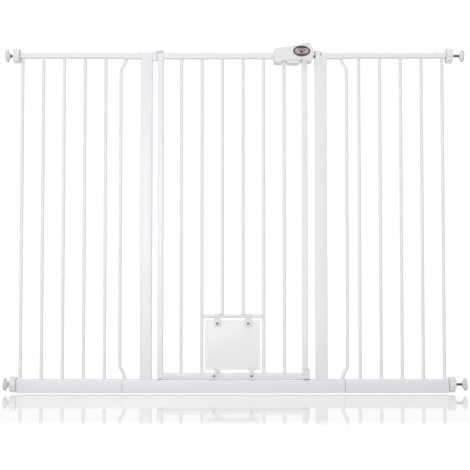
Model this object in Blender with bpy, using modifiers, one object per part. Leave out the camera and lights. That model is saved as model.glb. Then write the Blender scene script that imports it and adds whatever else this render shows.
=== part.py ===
"""Pressure-mount pet gate with a self-closing door, a cat flap and two extension panels.

Units are metres and +Z is up. The origin is the middle of the threshold rail's underside,
+X points to the latch side and the front of the gate faces -Y.
"""

import math

import bmesh
import bpy
from mathutils import Matrix, Vector

MM = 0.001
GAP = 0.3 * MM

# Frame
GATE_HEIGHT = 1040 * MM
RAIL_DEPTH = 20 * MM
TOP_RAIL_HEIGHT = 18 * MM
BOTTOM_RAIL_HEIGHT = 40 * MM
FRAME_HALF_WIDTH = 338 * MM
POST_WIDTH = 36 * MM
POST_X = 267.5 * MM
BAR_RADIUS = 5 * MM
TUBE_EDGE = 2 * MM
SIDE_BAR_END_X = 332 * MM
SIDE_BAR_MID_X = 347 * MM
SIDE_BAR_BENDS = (49 * MM, 79 * MM, 990 * MM, 1014 * MM)

# Extension panels
EXTENSION_TOP_END = {"left": 657 * MM, "right": 652.4 * MM}
EXTENSION_BOTTOM_END = {"left": 659.5 * MM, "right": 652.5 * MM}
EXTENSION_TOP_HEIGHT = 16 * MM
EXTENSION_FIRST_BAR = {"left": 393.5 * MM, "right": 385 * MM}
EXTENSION_BAR_PITCH = 64 * MM
PIN_RADIUS = 4.5 * MM
PIN_REACH = 24 * MM

# Wall adjusters
SPINDLE_RADIUS = 4 * MM
SPINDLE_BORE = 4.3 * MM
SPINDLE_INSET = 32 * MM
SPINDLE_DEPTH_BORE = 45 * MM
WHEEL_RADIUS = 23 * MM
WHEEL_LOBES = 8
WHEEL_RIM = 19 * MM
WHEEL_HUB = 2.5 * MM
WHEEL_HUB_RADIUS = 15 * MM
CUP_RADIUS = 19 * MM
CUP_DEPTH = 10 * MM
PAD_THICKNESS = 2.5 * MM
TOP_SPINDLE_Z = 1031 * MM
BOTTOM_SPINDLE_Z = 24.6 * MM
# Bare thread that shows between each wheel and its cup
REACHES = {
    "left_top": 7.5 * MM,
    "right_top": 19 * MM,
    "left_bottom": 3.5 * MM,
    "right_bottom": 19 * MM,
}

# Door
HINGE_X = -223.4 * MM
LATCH_STILE_X = 217.6 * MM
STILE_WIDTH = 17 * MM
DOOR_DEPTH = 18 * MM
DOOR_BOTTOM = 43 * MM
DOOR_BOTTOM_HEIGHT = 16 * MM
BAR_PITCH = 63 * MM
DOOR_BARS = [HINGE_X + BAR_PITCH * step for step in range(1, 7)]
CROSS_RAIL_Z = 231.6 * MM
DOOR_LIFT = 3 * MM

# Hinges
HINGE_PIN_RADIUS = 3.5 * MM
HINGE_BORE = 3.7 * MM
ARM_BOTTOM = GATE_HEIGHT + DOOR_LIFT + GAP
ARM_THICKNESS = 3 * MM
PIN_HEAD_RADIUS = 6 * MM

# Latch
HOUSING_HALF_DEPTH = 22 * MM
WALL = 2.5 * MM
HOUSING_LEFT = 123 * MM
HOUSING_RIGHT = 244.2 * MM
RELEASE_TRAVEL = 10 * MM
BOLT_BOTTOM = 1025 * MM
BOLT_TOP = 1033 * MM
BOLT_TIP = 250.5 * MM
STRIKE_LEFT = 248.8 * MM
STRIKE_RIGHT = 269 * MM
STRIKE_BOTTOM = 1003 * MM
SPRING_Z = 1048 * MM
SPRING_TURNS = 6
SPRING_RADIUS = 3.5 * MM
SPRING_WIRE = 0.6 * MM

# Cat flap
FLAP_LEFT = -87.4 * MM
FLAP_RIGHT = 81.6 * MM
FLAP_BOTTOM = 68 * MM
FLAP_TOP = 219.4 * MM
FLAP_THICKNESS = 4 * MM
CLIP_OFFSET = 47 * MM
CLIP_SCREW_Z = 209.3 * MM
LEVER_OFFSET = 57 * MM
LEVER_Z = 51 * MM
LEVER_THICKNESS = 4 * MM
LEVER_REST_ANGLE = math.radians(31)
SCREW_SHANK = 2 * MM
SCREW_BORE = 2.3 * MM

STEEL = ("powder_coat", (0.83, 0.83, 0.84), 0.35, 0.0)
PLASTIC = ("white_plastic", (0.85, 0.85, 0.85), 0.45, 0.0)
FLAP_PLASTIC = ("flap_plastic", (0.86, 0.85, 0.86), 0.4, 0.0)
THREAD = ("zinc_thread", (0.32, 0.32, 0.33), 0.4, 0.9)
SCREW = ("screw_steel", (0.42, 0.42, 0.43), 0.4, 0.9)
RUBBER = ("rubber", (0.75, 0.75, 0.75), 0.8, 0.0)
BADGE = ("badge", (0.36, 0.29, 0.33), 0.4, 0.0)


def clear_scene():
    for obj in list(bpy.data.objects):
        bpy.data.objects.remove(obj)


def new_collection(name):
    collection = bpy.data.collections.new(name)
    bpy.context.scene.collection.children.link(collection)
    return collection


def make_material(name, finish):
    _, color, roughness, metallic = finish
    material = bpy.data.materials.new(name)
    material.use_nodes = True
    shader = material.node_tree.nodes["Principled BSDF"]
    shader.inputs["Base Color"].default_value = (*color, 1)
    shader.inputs["Roughness"].default_value = roughness
    shader.inputs["Metallic"].default_value = metallic
    return material


clear_scene()
GATE = new_collection("pet_gate")
CUTTERS = new_collection("cutters")


def place(name, data, finish=None, location=(0, 0, 0)):
    """Link new data as a named part, or as a hidden cutter when it has no finish."""
    obj = bpy.data.objects.new(name, data)
    obj.location = location
    if finish:
        data.materials.append(make_material(name, finish))
        GATE.objects.link(obj)
    else:
        CUTTERS.objects.link(obj)
        obj.hide_render = True
        obj.display_type = "WIRE"
    return obj


def box_mesh(name, size):
    mesh = bpy.data.meshes.new(name)
    form = bmesh.new()
    bmesh.ops.create_cube(form, size=1)
    bmesh.ops.scale(form, vec=size, verts=form.verts)
    form.to_mesh(mesh)
    form.free()
    return mesh


def box(name, low, high, finish=None, edge=0.0):
    low, high = Vector(low), Vector(high)
    obj = place(name, box_mesh(name, high - low), finish, (low + high) / 2)
    if edge:
        bevel = obj.modifiers.new("edges", "BEVEL")
        bevel.width = edge
        bevel.segments = 2
    return obj


def rod(name, start, end, radius, finish=None, sides=12):
    """A round bar between two points."""
    start, end = Vector(start), Vector(end)
    mesh = bpy.data.meshes.new(name)
    form = bmesh.new()
    bmesh.ops.create_cone(
        form, cap_ends=True, segments=sides, radius1=radius, radius2=radius, depth=(end - start).length
    )
    turn = (end - start).to_track_quat("Z", "Y").to_matrix()
    bmesh.ops.rotate(form, matrix=turn, verts=form.verts, cent=(0, 0, 0))
    form.to_mesh(mesh)
    form.free()
    mesh.shade_smooth()
    mesh.set_sharp_from_angle(angle=math.radians(35))
    return place(name, mesh, finish, (start + end) / 2)


def turned(name, profile, location, direction, finish, steps=24):
    """Turn a profile of (radius, height), top to bottom, about an axis along direction."""
    mesh = bpy.data.meshes.new(name)
    form = bmesh.new()
    ring = [form.verts.new((radius, 0, height)) for radius, height in profile]
    for upper, lower in zip(ring, ring[1:]):
        form.edges.new((upper, lower))
    form.to_mesh(mesh)
    form.free()
    obj = place(name, mesh, finish, location)
    obj.rotation_euler = Vector(direction).to_track_quat("Z", "Y").to_euler()
    screw = obj.modifiers.new("turn", "SCREW")
    screw.steps = steps
    screw.render_steps = steps
    screw.use_merge_vertices = True
    screw.merge_threshold = 0.00001
    return obj


def outline(name, points, start, depth, finish=None, plane="XZ"):
    """Extrude a flat outline: an XZ outline grows along +Y from start, a YZ one along +X."""
    curve = bpy.data.curves.new(name, "CURVE")
    curve.dimensions = "2D"
    curve.fill_mode = "BOTH"
    curve.extrude = depth / 2
    spline = curve.splines.new("POLY")
    spline.points.add(len(points) - 1)
    for point, (across, up) in zip(spline.points, points):
        point.co = (across, up, 0, 1)
    spline.use_cyclic_u = True
    if plane == "XZ":
        stand = Matrix.Rotation(math.radians(90), 4, "X")
        shift = Matrix.Translation((0, start + depth / 2, 0))
    else:
        stand = Matrix.Rotation(math.radians(90), 4, "Z") @ Matrix.Rotation(math.radians(90), 4, "X")
        shift = Matrix.Translation((start + depth / 2, 0, 0))
    return solid_from_curve(name, curve, shift @ stand, finish)


def solid_from_curve(name, curve, matrix, finish):
    """Turn a curve into a welded mesh, so that it can be cut or joined."""
    guide = bpy.data.objects.new(name + "_guide", curve)
    CUTTERS.objects.link(guide)
    shape = guide.evaluated_get(bpy.context.evaluated_depsgraph_get())
    mesh = bpy.data.meshes.new_from_object(shape)
    bpy.data.objects.remove(guide)
    mesh.name = name
    form = bmesh.new()
    form.from_mesh(mesh)
    bmesh.ops.remove_doubles(form, verts=form.verts, dist=0.00001)
    form.to_mesh(mesh)
    form.free()
    mesh.materials.clear()
    obj = place(name, mesh, finish)
    obj.matrix_world = matrix
    return obj


def bent_tube(name, points, radius, finish):
    curve = bpy.data.curves.new(name, "CURVE")
    curve.dimensions = "3D"
    curve.bevel_depth = radius
    curve.bevel_resolution = 2
    curve.use_fill_caps = True
    spline = curve.splines.new("POLY")
    spline.points.add(len(points) - 1)
    for point, place_at in zip(spline.points, points):
        point.co = (*place_at, 1)
    return place(name, curve, finish)


def boolean(obj, other, operation):
    modifier = obj.modifiers.new(operation.lower(), "BOOLEAN")
    modifier.operation = operation
    modifier.object = other
    return obj


def cut(obj, *cutters):
    for cutter in cutters:
        boolean(obj, cutter, "DIFFERENCE")
    return obj


def weld(obj, *others):
    for other in others:
        boolean(obj, other, "UNION")
    return obj


def arc(centre, radius, first, last, steps):
    """Points on an arc, in degrees, both ends included."""
    angles = [math.radians(first + (last - first) * step / steps) for step in range(steps + 1)]
    return [(centre[0] + radius * math.cos(a), centre[1] + radius * math.sin(a)) for a in angles]


def pin_bore(name, side, z):
    x = side * FRAME_HALF_WIDTH
    reach = PIN_REACH + 1 * MM
    return rod(name, (x - reach, 0, z), (x + reach, 0, z), PIN_RADIUS + GAP)


SIDES = {"left": -1, "right": 1}
TOP_PIN_Z = TOP_SPINDLE_Z
BOTTOM_PIN_Z = BOTTOM_RAIL_HEIGHT / 2
HALF = RAIL_DEPTH / 2


def build_threshold():
    rail = box(
        "threshold_rail",
        (-FRAME_HALF_WIDTH, -HALF, 0),
        (FRAME_HALF_WIDTH, HALF, BOTTOM_RAIL_HEIGHT),
        STEEL,
        TUBE_EDGE,
    )
    for name, side in SIDES.items():
        cut(rail, pin_bore(f"{name}_threshold_bore", side, BOTTOM_PIN_Z))
    hinge_hole = rod(
        "lower_hinge_hole",
        (HINGE_X, 0, BOTTOM_RAIL_HEIGHT - 22 * MM),
        (HINGE_X, 0, BOTTOM_RAIL_HEIGHT + 1 * MM),
        HINGE_BORE + 0.1 * MM,
    )
    cut(rail, hinge_hole)


def build_posts():
    for name, side in SIDES.items():
        post = box(
            f"{name}_post",
            (side * POST_X - POST_WIDTH / 2, -HALF, BOTTOM_RAIL_HEIGHT + GAP),
            (side * POST_X + POST_WIDTH / 2, HALF, GATE_HEIGHT),
            STEEL,
            TUBE_EDGE,
        )
        if side > 0:
            notch = box(
                "strike_notch",
                (STRIKE_LEFT - 10 * MM, -RAIL_DEPTH, STRIKE_BOTTOM - GAP),
                (STRIKE_RIGHT + GAP, RAIL_DEPTH, GATE_HEIGHT + 10 * MM),
            )
            cut(post, notch)


def build_stubs():
    inner = POST_X + POST_WIDTH / 2 + GAP
    for name, side in SIDES.items():
        ends = sorted((side * inner, side * FRAME_HALF_WIDTH))
        stub = box(
            f"{name}_top_stub",
            (ends[0], -HALF, GATE_HEIGHT - TOP_RAIL_HEIGHT),
            (ends[1], HALF, GATE_HEIGHT),
            STEEL,
            TUBE_EDGE,
        )
        cut(stub, pin_bore(f"{name}_stub_bore", side, TOP_PIN_Z))


def build_side_bars():
    low = BOTTOM_RAIL_HEIGHT + GAP
    high = GATE_HEIGHT - TOP_RAIL_HEIGHT - GAP
    heights = (low, *SIDE_BAR_BENDS, high)
    across = (SIDE_BAR_END_X, SIDE_BAR_END_X, SIDE_BAR_MID_X, SIDE_BAR_MID_X, SIDE_BAR_END_X, SIDE_BAR_END_X)
    for name, side in SIDES.items():
        points = [(side * x, 0, z) for x, z in zip(across, heights)]
        bent_tube(f"{name}_side_bar", points, BAR_RADIUS, STEEL)


def panel_rail(name, side, end, bottom, top, finish=None):
    near = side * (FRAME_HALF_WIDTH + GAP)
    far = side * end
    low = (min(near, far), -HALF, bottom)
    high = (max(near, far), HALF, top)
    return box(name, low, high, finish, TUBE_EDGE)


def spindle_bore(name, side, end, z):
    return rod(
        name,
        (side * (end - SPINDLE_DEPTH_BORE), 0, z),
        (side * (end + 5 * MM), 0, z),
        SPINDLE_BORE,
        sides=16,
    )


def build_extension_panels():
    """Each panel is one welded grille: two rails, five bars, and the bores for its pins and spindles."""
    weld_in = 3 * MM
    for name, side in SIDES.items():
        panel = panel_rail(
            f"{name}_extension_panel",
            side,
            EXTENSION_TOP_END[name],
            GATE_HEIGHT - EXTENSION_TOP_HEIGHT,
            GATE_HEIGHT,
            STEEL,
        )
        low = BOTTOM_RAIL_HEIGHT - weld_in
        high = GATE_HEIGHT - EXTENSION_TOP_HEIGHT + weld_in
        lower_end = EXTENSION_BOTTOM_END[name]
        weld(panel, panel_rail(f"{name}_lower_rail", side, lower_end, 0, BOTTOM_RAIL_HEIGHT))
        for number in range(5):
            x = side * (EXTENSION_FIRST_BAR[name] + EXTENSION_BAR_PITCH * number)
            bar = rod(f"{name}_panel_bar_{number + 1}", (x, 0, low), (x, 0, high), BAR_RADIUS)
            weld(panel, bar)
        cut(
            panel,
            pin_bore(f"{name}_panel_top_bore", side, TOP_PIN_Z),
            pin_bore(f"{name}_panel_bottom_bore", side, BOTTOM_PIN_Z),
            spindle_bore(f"{name}_top_spindle_bore", side, EXTENSION_TOP_END[name], TOP_SPINDLE_Z),
            spindle_bore(f"{name}_bottom_spindle_bore", side, lower_end, BOTTOM_SPINDLE_Z),
        )


def build_joining_pins():
    for name, side in SIDES.items():
        for level, z in (("top", TOP_PIN_Z), ("bottom", BOTTOM_PIN_Z)):
            x = side * FRAME_HALF_WIDTH
            rod(
                f"{name}_{level}_joining_pin",
                (x - PIN_REACH, 0, z),
                (x + PIN_REACH, 0, z),
                PIN_RADIUS,
                THREAD,
            )


def wheel_points():
    """A scalloped circle: one shallow wave for each finger lobe."""
    steps = WHEEL_LOBES * 6
    points = []
    for step in range(steps):
        angle = 2 * math.pi * step / steps
        radius = WHEEL_RADIUS - 1.2 * MM * (1 - math.cos(WHEEL_LOBES * angle)) / 2
        points.append((radius * math.cos(angle), radius * math.sin(angle)))
    return points


def build_adjuster(name, side, end, z):
    """One wheel nut, its threaded spindle, wall cup and rubber pad, all about the spindle's axis."""
    face = side * (end + 1 * MM)
    wheel_far = side * (end + 1 * MM + WHEEL_RIM)
    start = min(face, wheel_far)
    points = [(y, z + up) for y, up in wheel_points()]
    wheel = outline(f"{name}_wheel", points, start, WHEEL_RIM, PLASTIC, plane="YZ")
    hub_start = Vector((wheel_far, 0, z))
    hub = turned(
        f"{name}_hub",
        [
            (0.0, WHEEL_HUB),
            (WHEEL_HUB_RADIUS - 4 * MM, WHEEL_HUB),
            (WHEEL_HUB_RADIUS, 0.5 * MM),
            (WHEEL_HUB_RADIUS, -2 * MM),
            (0.0, -2 * MM),
        ],
        hub_start,
        (side, 0, 0),
        None,
    )
    bore = rod(
        f"{name}_wheel_bore",
        (face - side * 5 * MM, 0, z),
        (wheel_far + side * (WHEEL_HUB + 5 * MM), 0, z),
        SPINDLE_BORE,
        sides=16,
    )
    weld(wheel, hub)
    cut(wheel, bore)
    wheel_end = end + 1 * MM + WHEEL_RIM + WHEEL_HUB
    cup_near = wheel_end + REACHES[name]
    socket = 5 * MM
    rod(
        f"{name}_spindle",
        (side * (end - SPINDLE_INSET), 0, z),
        (side * (cup_near + socket - GAP), 0, z),
        SPINDLE_RADIUS,
        THREAD,
        sides=16,
    )
    cup = turned(
        f"{name}_wall_cup",
        [
            (0.0, CUP_DEPTH),
            (CUP_RADIUS, CUP_DEPTH),
            (CUP_RADIUS, CUP_DEPTH - 3 * MM),
            (CUP_RADIUS - 5 * MM, CUP_DEPTH - 5.5 * MM),
            (9 * MM, 1.5 * MM),
            (8 * MM, 0.0),
            (0.0, 0.0),
        ],
        (side * cup_near, 0, z),
        (side, 0, 0),
        PLASTIC,
    )
    cup_bore = rod(
        f"{name}_cup_socket",
        (side * (cup_near - 3 * MM), 0, z),
        (side * (cup_near + socket), 0, z),
        SPINDLE_BORE,
    )
    cut(cup, cup_bore)
    pad_near = cup_near + CUP_DEPTH + GAP
    turned(
        f"{name}_wall_pad",
        [
            (0.0, PAD_THICKNESS),
            (CUP_RADIUS - 1.5 * MM, PAD_THICKNESS),
            (CUP_RADIUS - 0.5 * MM, PAD_THICKNESS - 1 * MM),
            (CUP_RADIUS - 0.5 * MM, 0.0),
            (0.0, 0.0),
        ],
        (side * pad_near, 0, z),
        (side, 0, 0),
        RUBBER,
    )


def build_adjusters():
    for name, side in SIDES.items():
        build_adjuster(f"{name}_top", side, EXTENSION_TOP_END[name], TOP_SPINDLE_Z)
        build_adjuster(f"{name}_bottom", side, EXTENSION_BOTTOM_END[name], BOTTOM_SPINDLE_Z)


def build_door_frame():
    half = DOOR_DEPTH / 2
    width = STILE_WIDTH / 2
    hinge_stile = box(
        "hinge_stile",
        (HINGE_X - width, -half, DOOR_BOTTOM),
        (HINGE_X + width, half, GATE_HEIGHT),
        STEEL,
        TUBE_EDGE,
    )
    cut(
        hinge_stile,
        rod(
            "stile_top_bore",
            (HINGE_X, 0, GATE_HEIGHT - 32 * MM),
            (HINGE_X, 0, GATE_HEIGHT + 5 * MM),
            HINGE_BORE,
        ),
        rod(
            "stile_bottom_bore",
            (HINGE_X, 0, DOOR_BOTTOM - 5 * MM),
            (HINGE_X, 0, DOOR_BOTTOM + 32 * MM),
            HINGE_BORE,
        ),
    )
    box(
        "latch_stile",
        (LATCH_STILE_X - width, -half, DOOR_BOTTOM),
        (LATCH_STILE_X + width, half, GATE_HEIGHT),
        STEEL,
        TUBE_EDGE,
    )
    left = HINGE_X + width + GAP
    right = LATCH_STILE_X - width - GAP
    box(
        "door_top_rail",
        (left, -half, GATE_HEIGHT - TOP_RAIL_HEIGHT),
        (right, half, GATE_HEIGHT),
        STEEL,
        TUBE_EDGE,
    )
    bottom_rail = box(
        "door_bottom_rail",
        (left, -half, DOOR_BOTTOM),
        (right, half, DOOR_BOTTOM + DOOR_BOTTOM_HEIGHT),
        STEEL,
        TUBE_EDGE,
    )
    for name, x in lever_centres().items():
        cut(bottom_rail, rod(f"{name}_lever_hole", (x, -20 * MM, LEVER_Z), (x, 1 * MM, LEVER_Z), SCREW_BORE))


def build_door_bars():
    """Full-height bars, except the two over the flap, which stand on its cross rail."""
    low = DOOR_BOTTOM + DOOR_BOTTOM_HEIGHT + GAP
    high = GATE_HEIGHT - TOP_RAIL_HEIGHT - GAP
    for number, x in enumerate(DOOR_BARS, 1):
        foot = CROSS_RAIL_Z + BAR_RADIUS + GAP if number in (3, 4) else low
        rod(f"door_bar_{number}", (x, 0, foot), (x, 0, high), BAR_RADIUS, STEEL)
    rod(
        "flap_cross_rail",
        (DOOR_BARS[1] + BAR_RADIUS + GAP, 0, CROSS_RAIL_Z),
        (DOOR_BARS[4] - BAR_RADIUS - GAP, 0, CROSS_RAIL_Z),
        BAR_RADIUS,
        STEEL,
        sides=16,
    )


def build_upper_hinge():
    post_face = -(POST_X - POST_WIDTH / 2) + GAP
    block_right = HINGE_X - 12.2 * MM
    arm_top = ARM_BOTTOM + ARM_THICKNESS
    arm_right = HINGE_X + 8.5 * MM
    bracket = outline(
        "upper_hinge_bracket",
        [
            (post_face, GATE_HEIGHT - 23 * MM),
            (block_right, GATE_HEIGHT - 23 * MM),
            (block_right, ARM_BOTTOM),
            (arm_right, ARM_BOTTOM),
            (arm_right, arm_top - 1 * MM),
            (arm_right - 1 * MM, arm_top),
            (post_face + 1 * MM, arm_top),
            (post_face, arm_top - 1 * MM),
        ],
        -8 * MM,
        16 * MM,
        STEEL,
    )
    cut(bracket, rod("bracket_bore", (HINGE_X, 0, GATE_HEIGHT), (HINGE_X, 0, arm_top + 5 * MM), HINGE_BORE))
    head = arm_top + GAP
    turned(
        "upper_hinge_pin",
        [
            (0.0, 3 * MM),
            (PIN_HEAD_RADIUS - 1.5 * MM, 3 * MM),
            (PIN_HEAD_RADIUS, 1.8 * MM),
            (PIN_HEAD_RADIUS, 0.0),
            (HINGE_PIN_RADIUS, 0.0),
            (HINGE_PIN_RADIUS, -35 * MM),
            (0.0, -35 * MM),
        ],
        (HINGE_X, 0, head),
        (0, 0, 1),
        PLASTIC,
        steps=20,
    )
    rod(
        "lower_hinge_pin",
        (HINGE_X, 0, BOTTOM_RAIL_HEIGHT - 18 * MM),
        (HINGE_X, 0, DOOR_BOTTOM + 30 * MM),
        HINGE_PIN_RADIUS,
        THREAD,
    )


def housing_points():
    """The latch housing's outline, anticlockwise from its lower left corner."""
    return [
        (128 * MM, 1007 * MM),
        (176 * MM, 1005.5 * MM),
        (196 * MM, 1005 * MM),
        (204.5 * MM, 1009.5 * MM),
        (205.5 * MM, 1012.5 * MM),
        (226.5 * MM, 1012.5 * MM),
        (227.5 * MM, 1010.5 * MM),
        (238 * MM, 1010.5 * MM),
        (243 * MM, 1015.5 * MM),
        (HOUSING_RIGHT, 1024 * MM),
        (HOUSING_RIGHT, 1047 * MM),
        (239 * MM, 1060 * MM),
        (233 * MM, 1065 * MM),
        (208 * MM, 1064 * MM),
        (130 * MM, 1052.2 * MM),
        (125 * MM, 1049.7 * MM),
        (HOUSING_LEFT, 1043.7 * MM),
        (HOUSING_LEFT, 1012 * MM),
    ]


def housing_cutters():
    """Everything that the two half shells leave room for."""
    bar_x = DOOR_BARS[5]
    rail_half = DOOR_DEPTH / 2 + GAP
    stile_half = STILE_WIDTH / 2
    low = 990 * MM
    rail_low = GATE_HEIGHT - TOP_RAIL_HEIGHT - GAP
    top = GATE_HEIGHT + GAP
    inner = HOUSING_HALF_DEPTH - WALL
    chamber = outline(
        "bolt_chamber",
        [
            (158 * MM, top - 1 * MM),
            (HOUSING_RIGHT - WALL, top - 1 * MM),
            (HOUSING_RIGHT - WALL, 1046 * MM),
            (231 * MM, 1061 * MM),
            (208 * MM, 1060.5 * MM),
            (158 * MM, 1054 * MM),
        ],
        -inner,
        2 * inner,
    )
    return [
        box("rail_channel", (HOUSING_LEFT - 5 * MM, -rail_half, rail_low), (215 * MM, rail_half, top)),
        box(
            "stile_channel",
            (LATCH_STILE_X - stile_half - GAP, -rail_half - 0.5 * MM, low),
            (LATCH_STILE_X + stile_half + GAP, rail_half + 0.5 * MM, top + 0.1 * MM),
        ),
        chamber,
        box("leg_channel", (220 * MM, -5 * MM, 1016 * MM), (HOUSING_RIGHT - WALL, 5 * MM, top)),
        box(
            "nose_hole",
            (238 * MM, -4.5 * MM, BOLT_BOTTOM - 0.5 * MM),
            (HOUSING_RIGHT + 5 * MM, 4.5 * MM, BOLT_TOP + 0.5 * MM),
        ),
        box("slider_slot", (199 * MM, -3.5 * MM, 1050 * MM), (232 * MM, 3.5 * MM, 1080 * MM)),
        rod("bar_channel", (bar_x, 0, low), (bar_x, 0, rail_low + 5 * MM), BAR_RADIUS + 0.5 * MM),
    ]


def build_latch_housing():
    points = housing_points()
    cutters = housing_cutters()
    seam = GAP / 2
    depth = HOUSING_HALF_DEPTH - seam
    front = outline("latch_housing_front", points, -HOUSING_HALF_DEPTH, depth, PLASTIC)
    rear = outline("latch_housing_rear", points, seam, depth, PLASTIC)
    cut(front, *cutters)
    cut(rear, *cutters)
    bar_x = DOOR_BARS[5]
    cut(
        front,
        box("bar_notch", (bar_x - 6 * MM, -30 * MM, 990 * MM), (bar_x + 6 * MM, 0, 1012.5 * MM)),
    )
    centre = (208 * MM, -HOUSING_HALF_DEPTH - GAP, 1041.6 * MM)
    badge = rod("housing_badge", (0, 0, 0), (0, -2.2 * MM, 0), 16.5 * MM, BADGE, sides=32)
    badge.location = (centre[0], centre[1] - 1.1 * MM, centre[2])
    badge.data.transform(Matrix.Diagonal((26 / 16.5, 1, 1, 1)))


def build_release():
    """The thumb slide on top, the bolt that it draws back, and the bolt's return spring."""
    slider = outline(
        "release_slider",
        [
            (210 * MM, 1065.6 * MM),
            (236 * MM, 1065.6 * MM),
            (236 * MM, 1067 * MM),
            (232.5 * MM, 1071 * MM),
            (212 * MM, 1069 * MM),
            (210 * MM, 1067.5 * MM),
        ],
        -10 * MM,
        20 * MM,
        PLASTIC,
    )
    stem_low, stem_high = 1047.4 * MM, 1066.5 * MM
    weld(slider, box("slider_stem", (214 * MM, -3 * MM, stem_low), (226 * MM, 3 * MM, stem_high)))
    outline(
        "latch_bolt",
        [
            (190 * MM, 1043 * MM),
            (238.2 * MM, 1043 * MM),
            (238.2 * MM, BOLT_BOTTOM),
            (BOLT_TIP - 1 * MM, BOLT_BOTTOM),
            (BOLT_TIP, BOLT_BOTTOM + 1 * MM),
            (BOLT_TIP, BOLT_TOP - 1 * MM),
            (BOLT_TIP - 1 * MM, BOLT_TOP),
            (241.2 * MM, BOLT_TOP),
            (241.2 * MM, 1045 * MM),
            (239.2 * MM, 1047 * MM),
            (194 * MM, 1047 * MM),
            (194 * MM, 1053 * MM),
            (190 * MM, 1053 * MM),
        ],
        -4 * MM,
        8 * MM,
        THREAD,
    )
    start, end = 159 * MM, 189 * MM
    points = []
    steps = SPRING_TURNS * 10
    for step in range(steps + 1):
        turn = 2 * math.pi * SPRING_TURNS * step / steps
        x = start + (end - start) * step / steps
        points.append((x, SPRING_RADIUS * math.cos(turn), SPRING_Z + SPRING_RADIUS * math.sin(turn)))
    spring = bent_tube("bolt_spring", points, SPRING_WIRE, SCREW)
    spring.data.bevel_resolution = 1


def build_strike():
    """The moulded keeper in the post's notch. Its slot is open front and back."""
    slot_low = BOLT_BOTTOM - 1 * MM
    slot_high = BOLT_TOP + DOOR_LIFT + 1 * MM
    slot_x = BOLT_TIP + 0.8 * MM
    outline(
        "strike_block",
        [
            (STRIKE_LEFT, STRIKE_BOTTOM),
            (STRIKE_RIGHT, STRIKE_BOTTOM),
            (STRIKE_RIGHT, 1044 * MM),
            (STRIKE_RIGHT - 2 * MM, 1046 * MM),
            (STRIKE_LEFT + 2 * MM, 1046 * MM),
            (STRIKE_LEFT, 1044 * MM),
            (STRIKE_LEFT, slot_high),
            (slot_x, slot_high),
            (slot_x, slot_low),
            (STRIKE_LEFT, slot_low),
        ],
        -HALF,
        RAIL_DEPTH,
        PLASTIC,
    )


def build_lock_foot():
    """A sleeve round the foot of the latch stile."""
    half = STILE_WIDTH / 2 + GAP
    foot = box(
        "lower_lock_foot",
        (LATCH_STILE_X - 5.6 * MM, -DOOR_DEPTH / 2 - 3 * MM, DOOR_BOTTOM - 1 * MM),
        (LATCH_STILE_X + half + 4.1 * MM, DOOR_DEPTH / 2 + 3 * MM, 70 * MM),
        PLASTIC,
        1 * MM,
    )
    pocket = box(
        "foot_pocket",
        (LATCH_STILE_X - 20 * MM, -DOOR_DEPTH / 2 - GAP, 30 * MM),
        (LATCH_STILE_X + half, DOOR_DEPTH / 2 + GAP, 90 * MM),
    )
    cut(foot, pocket)


def flap_centre():
    return (FLAP_LEFT + FLAP_RIGHT) / 2


def clip_centres():
    return {"left": flap_centre() - CLIP_OFFSET, "right": flap_centre() + CLIP_OFFSET}


def lever_centres():
    return {"left": flap_centre() - LEVER_OFFSET, "right": flap_centre() + LEVER_OFFSET}


def build_flap():
    half = FLAP_THICKNESS / 2
    lower = (FLAP_LEFT, -half, FLAP_BOTTOM)
    upper = (FLAP_RIGHT, half, FLAP_TOP)
    panel = box("flap_panel", lower, upper, FLAP_PLASTIC, 1 * MM)
    for name, x in clip_centres().items():
        hole = rod(f"{name}_flap_hole", (x, -10 * MM, CLIP_SCREW_Z), (x, 10 * MM, CLIP_SCREW_Z), SCREW_BORE)
        cut(panel, hole)
        build_flap_clip(name, x)


def build_flap_clip(name, x):
    """A strap over the cross rail whose two legs pinch the flap's top edge."""
    inner = BAR_RADIUS + GAP
    outer = BAR_RADIUS + 2.8 * MM
    leg = FLAP_THICKNESS / 2 + GAP
    width = 20 * MM
    foot = CLIP_SCREW_Z - 9 * MM
    centre = (0, CROSS_RAIL_Z)
    over = arc(centre, outer, -30, 210, 12)
    under = arc(centre, inner, 240, -60, 12)
    leg_out = leg + 3 * MM
    shoulder = CROSS_RAIL_Z - 9 * MM
    points = (
        [(leg, foot), (leg_out, foot), (leg_out, shoulder)]
        + over
        + [(-leg_out, shoulder), (-leg_out, foot), (-leg, foot), (-leg, CROSS_RAIL_Z - inner)]
        + under
        + [(leg, CROSS_RAIL_Z - inner)]
    )
    clip = outline(f"{name}_flap_clip", points, x - width / 2, width, PLASTIC, plane="YZ")
    hole_end = (x, leg + 1.5 * MM, CLIP_SCREW_Z)
    hole = rod(f"{name}_clip_hole", (x, -10 * MM, CLIP_SCREW_Z), hole_end, SCREW_BORE)
    cut(clip, hole)
    build_screw(f"{name}_clip_screw", (x, -leg_out - GAP, CLIP_SCREW_Z), leg_out + leg)


def build_screw(name, head_face, shank):
    """A pan-head screw driven in from the front. head_face is the middle of the head's underside."""
    turned(
        name,
        [
            (0.0, 2.2 * MM),
            (2.4 * MM, 2.0 * MM),
            (3.6 * MM, 0.9 * MM),
            (3.6 * MM, 0.0),
            (SCREW_SHANK, 0.0),
            (SCREW_SHANK, -shank),
            (0.0, -shank),
        ],
        head_face,
        (0, -1, 0),
        SCREW,
        steps=14,
    )


def lever_points():
    """A turn button about its pivot: round foot, narrow neck and flared head."""
    foot = arc((0, 0), 7 * MM, 150, 390, 12)
    right = [(5.5 * MM, 9 * MM), (10 * MM, 18 * MM), (9 * MM, 24 * MM)]
    left = [(-across, up) for across, up in reversed(right)]
    return foot + right + left


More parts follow.
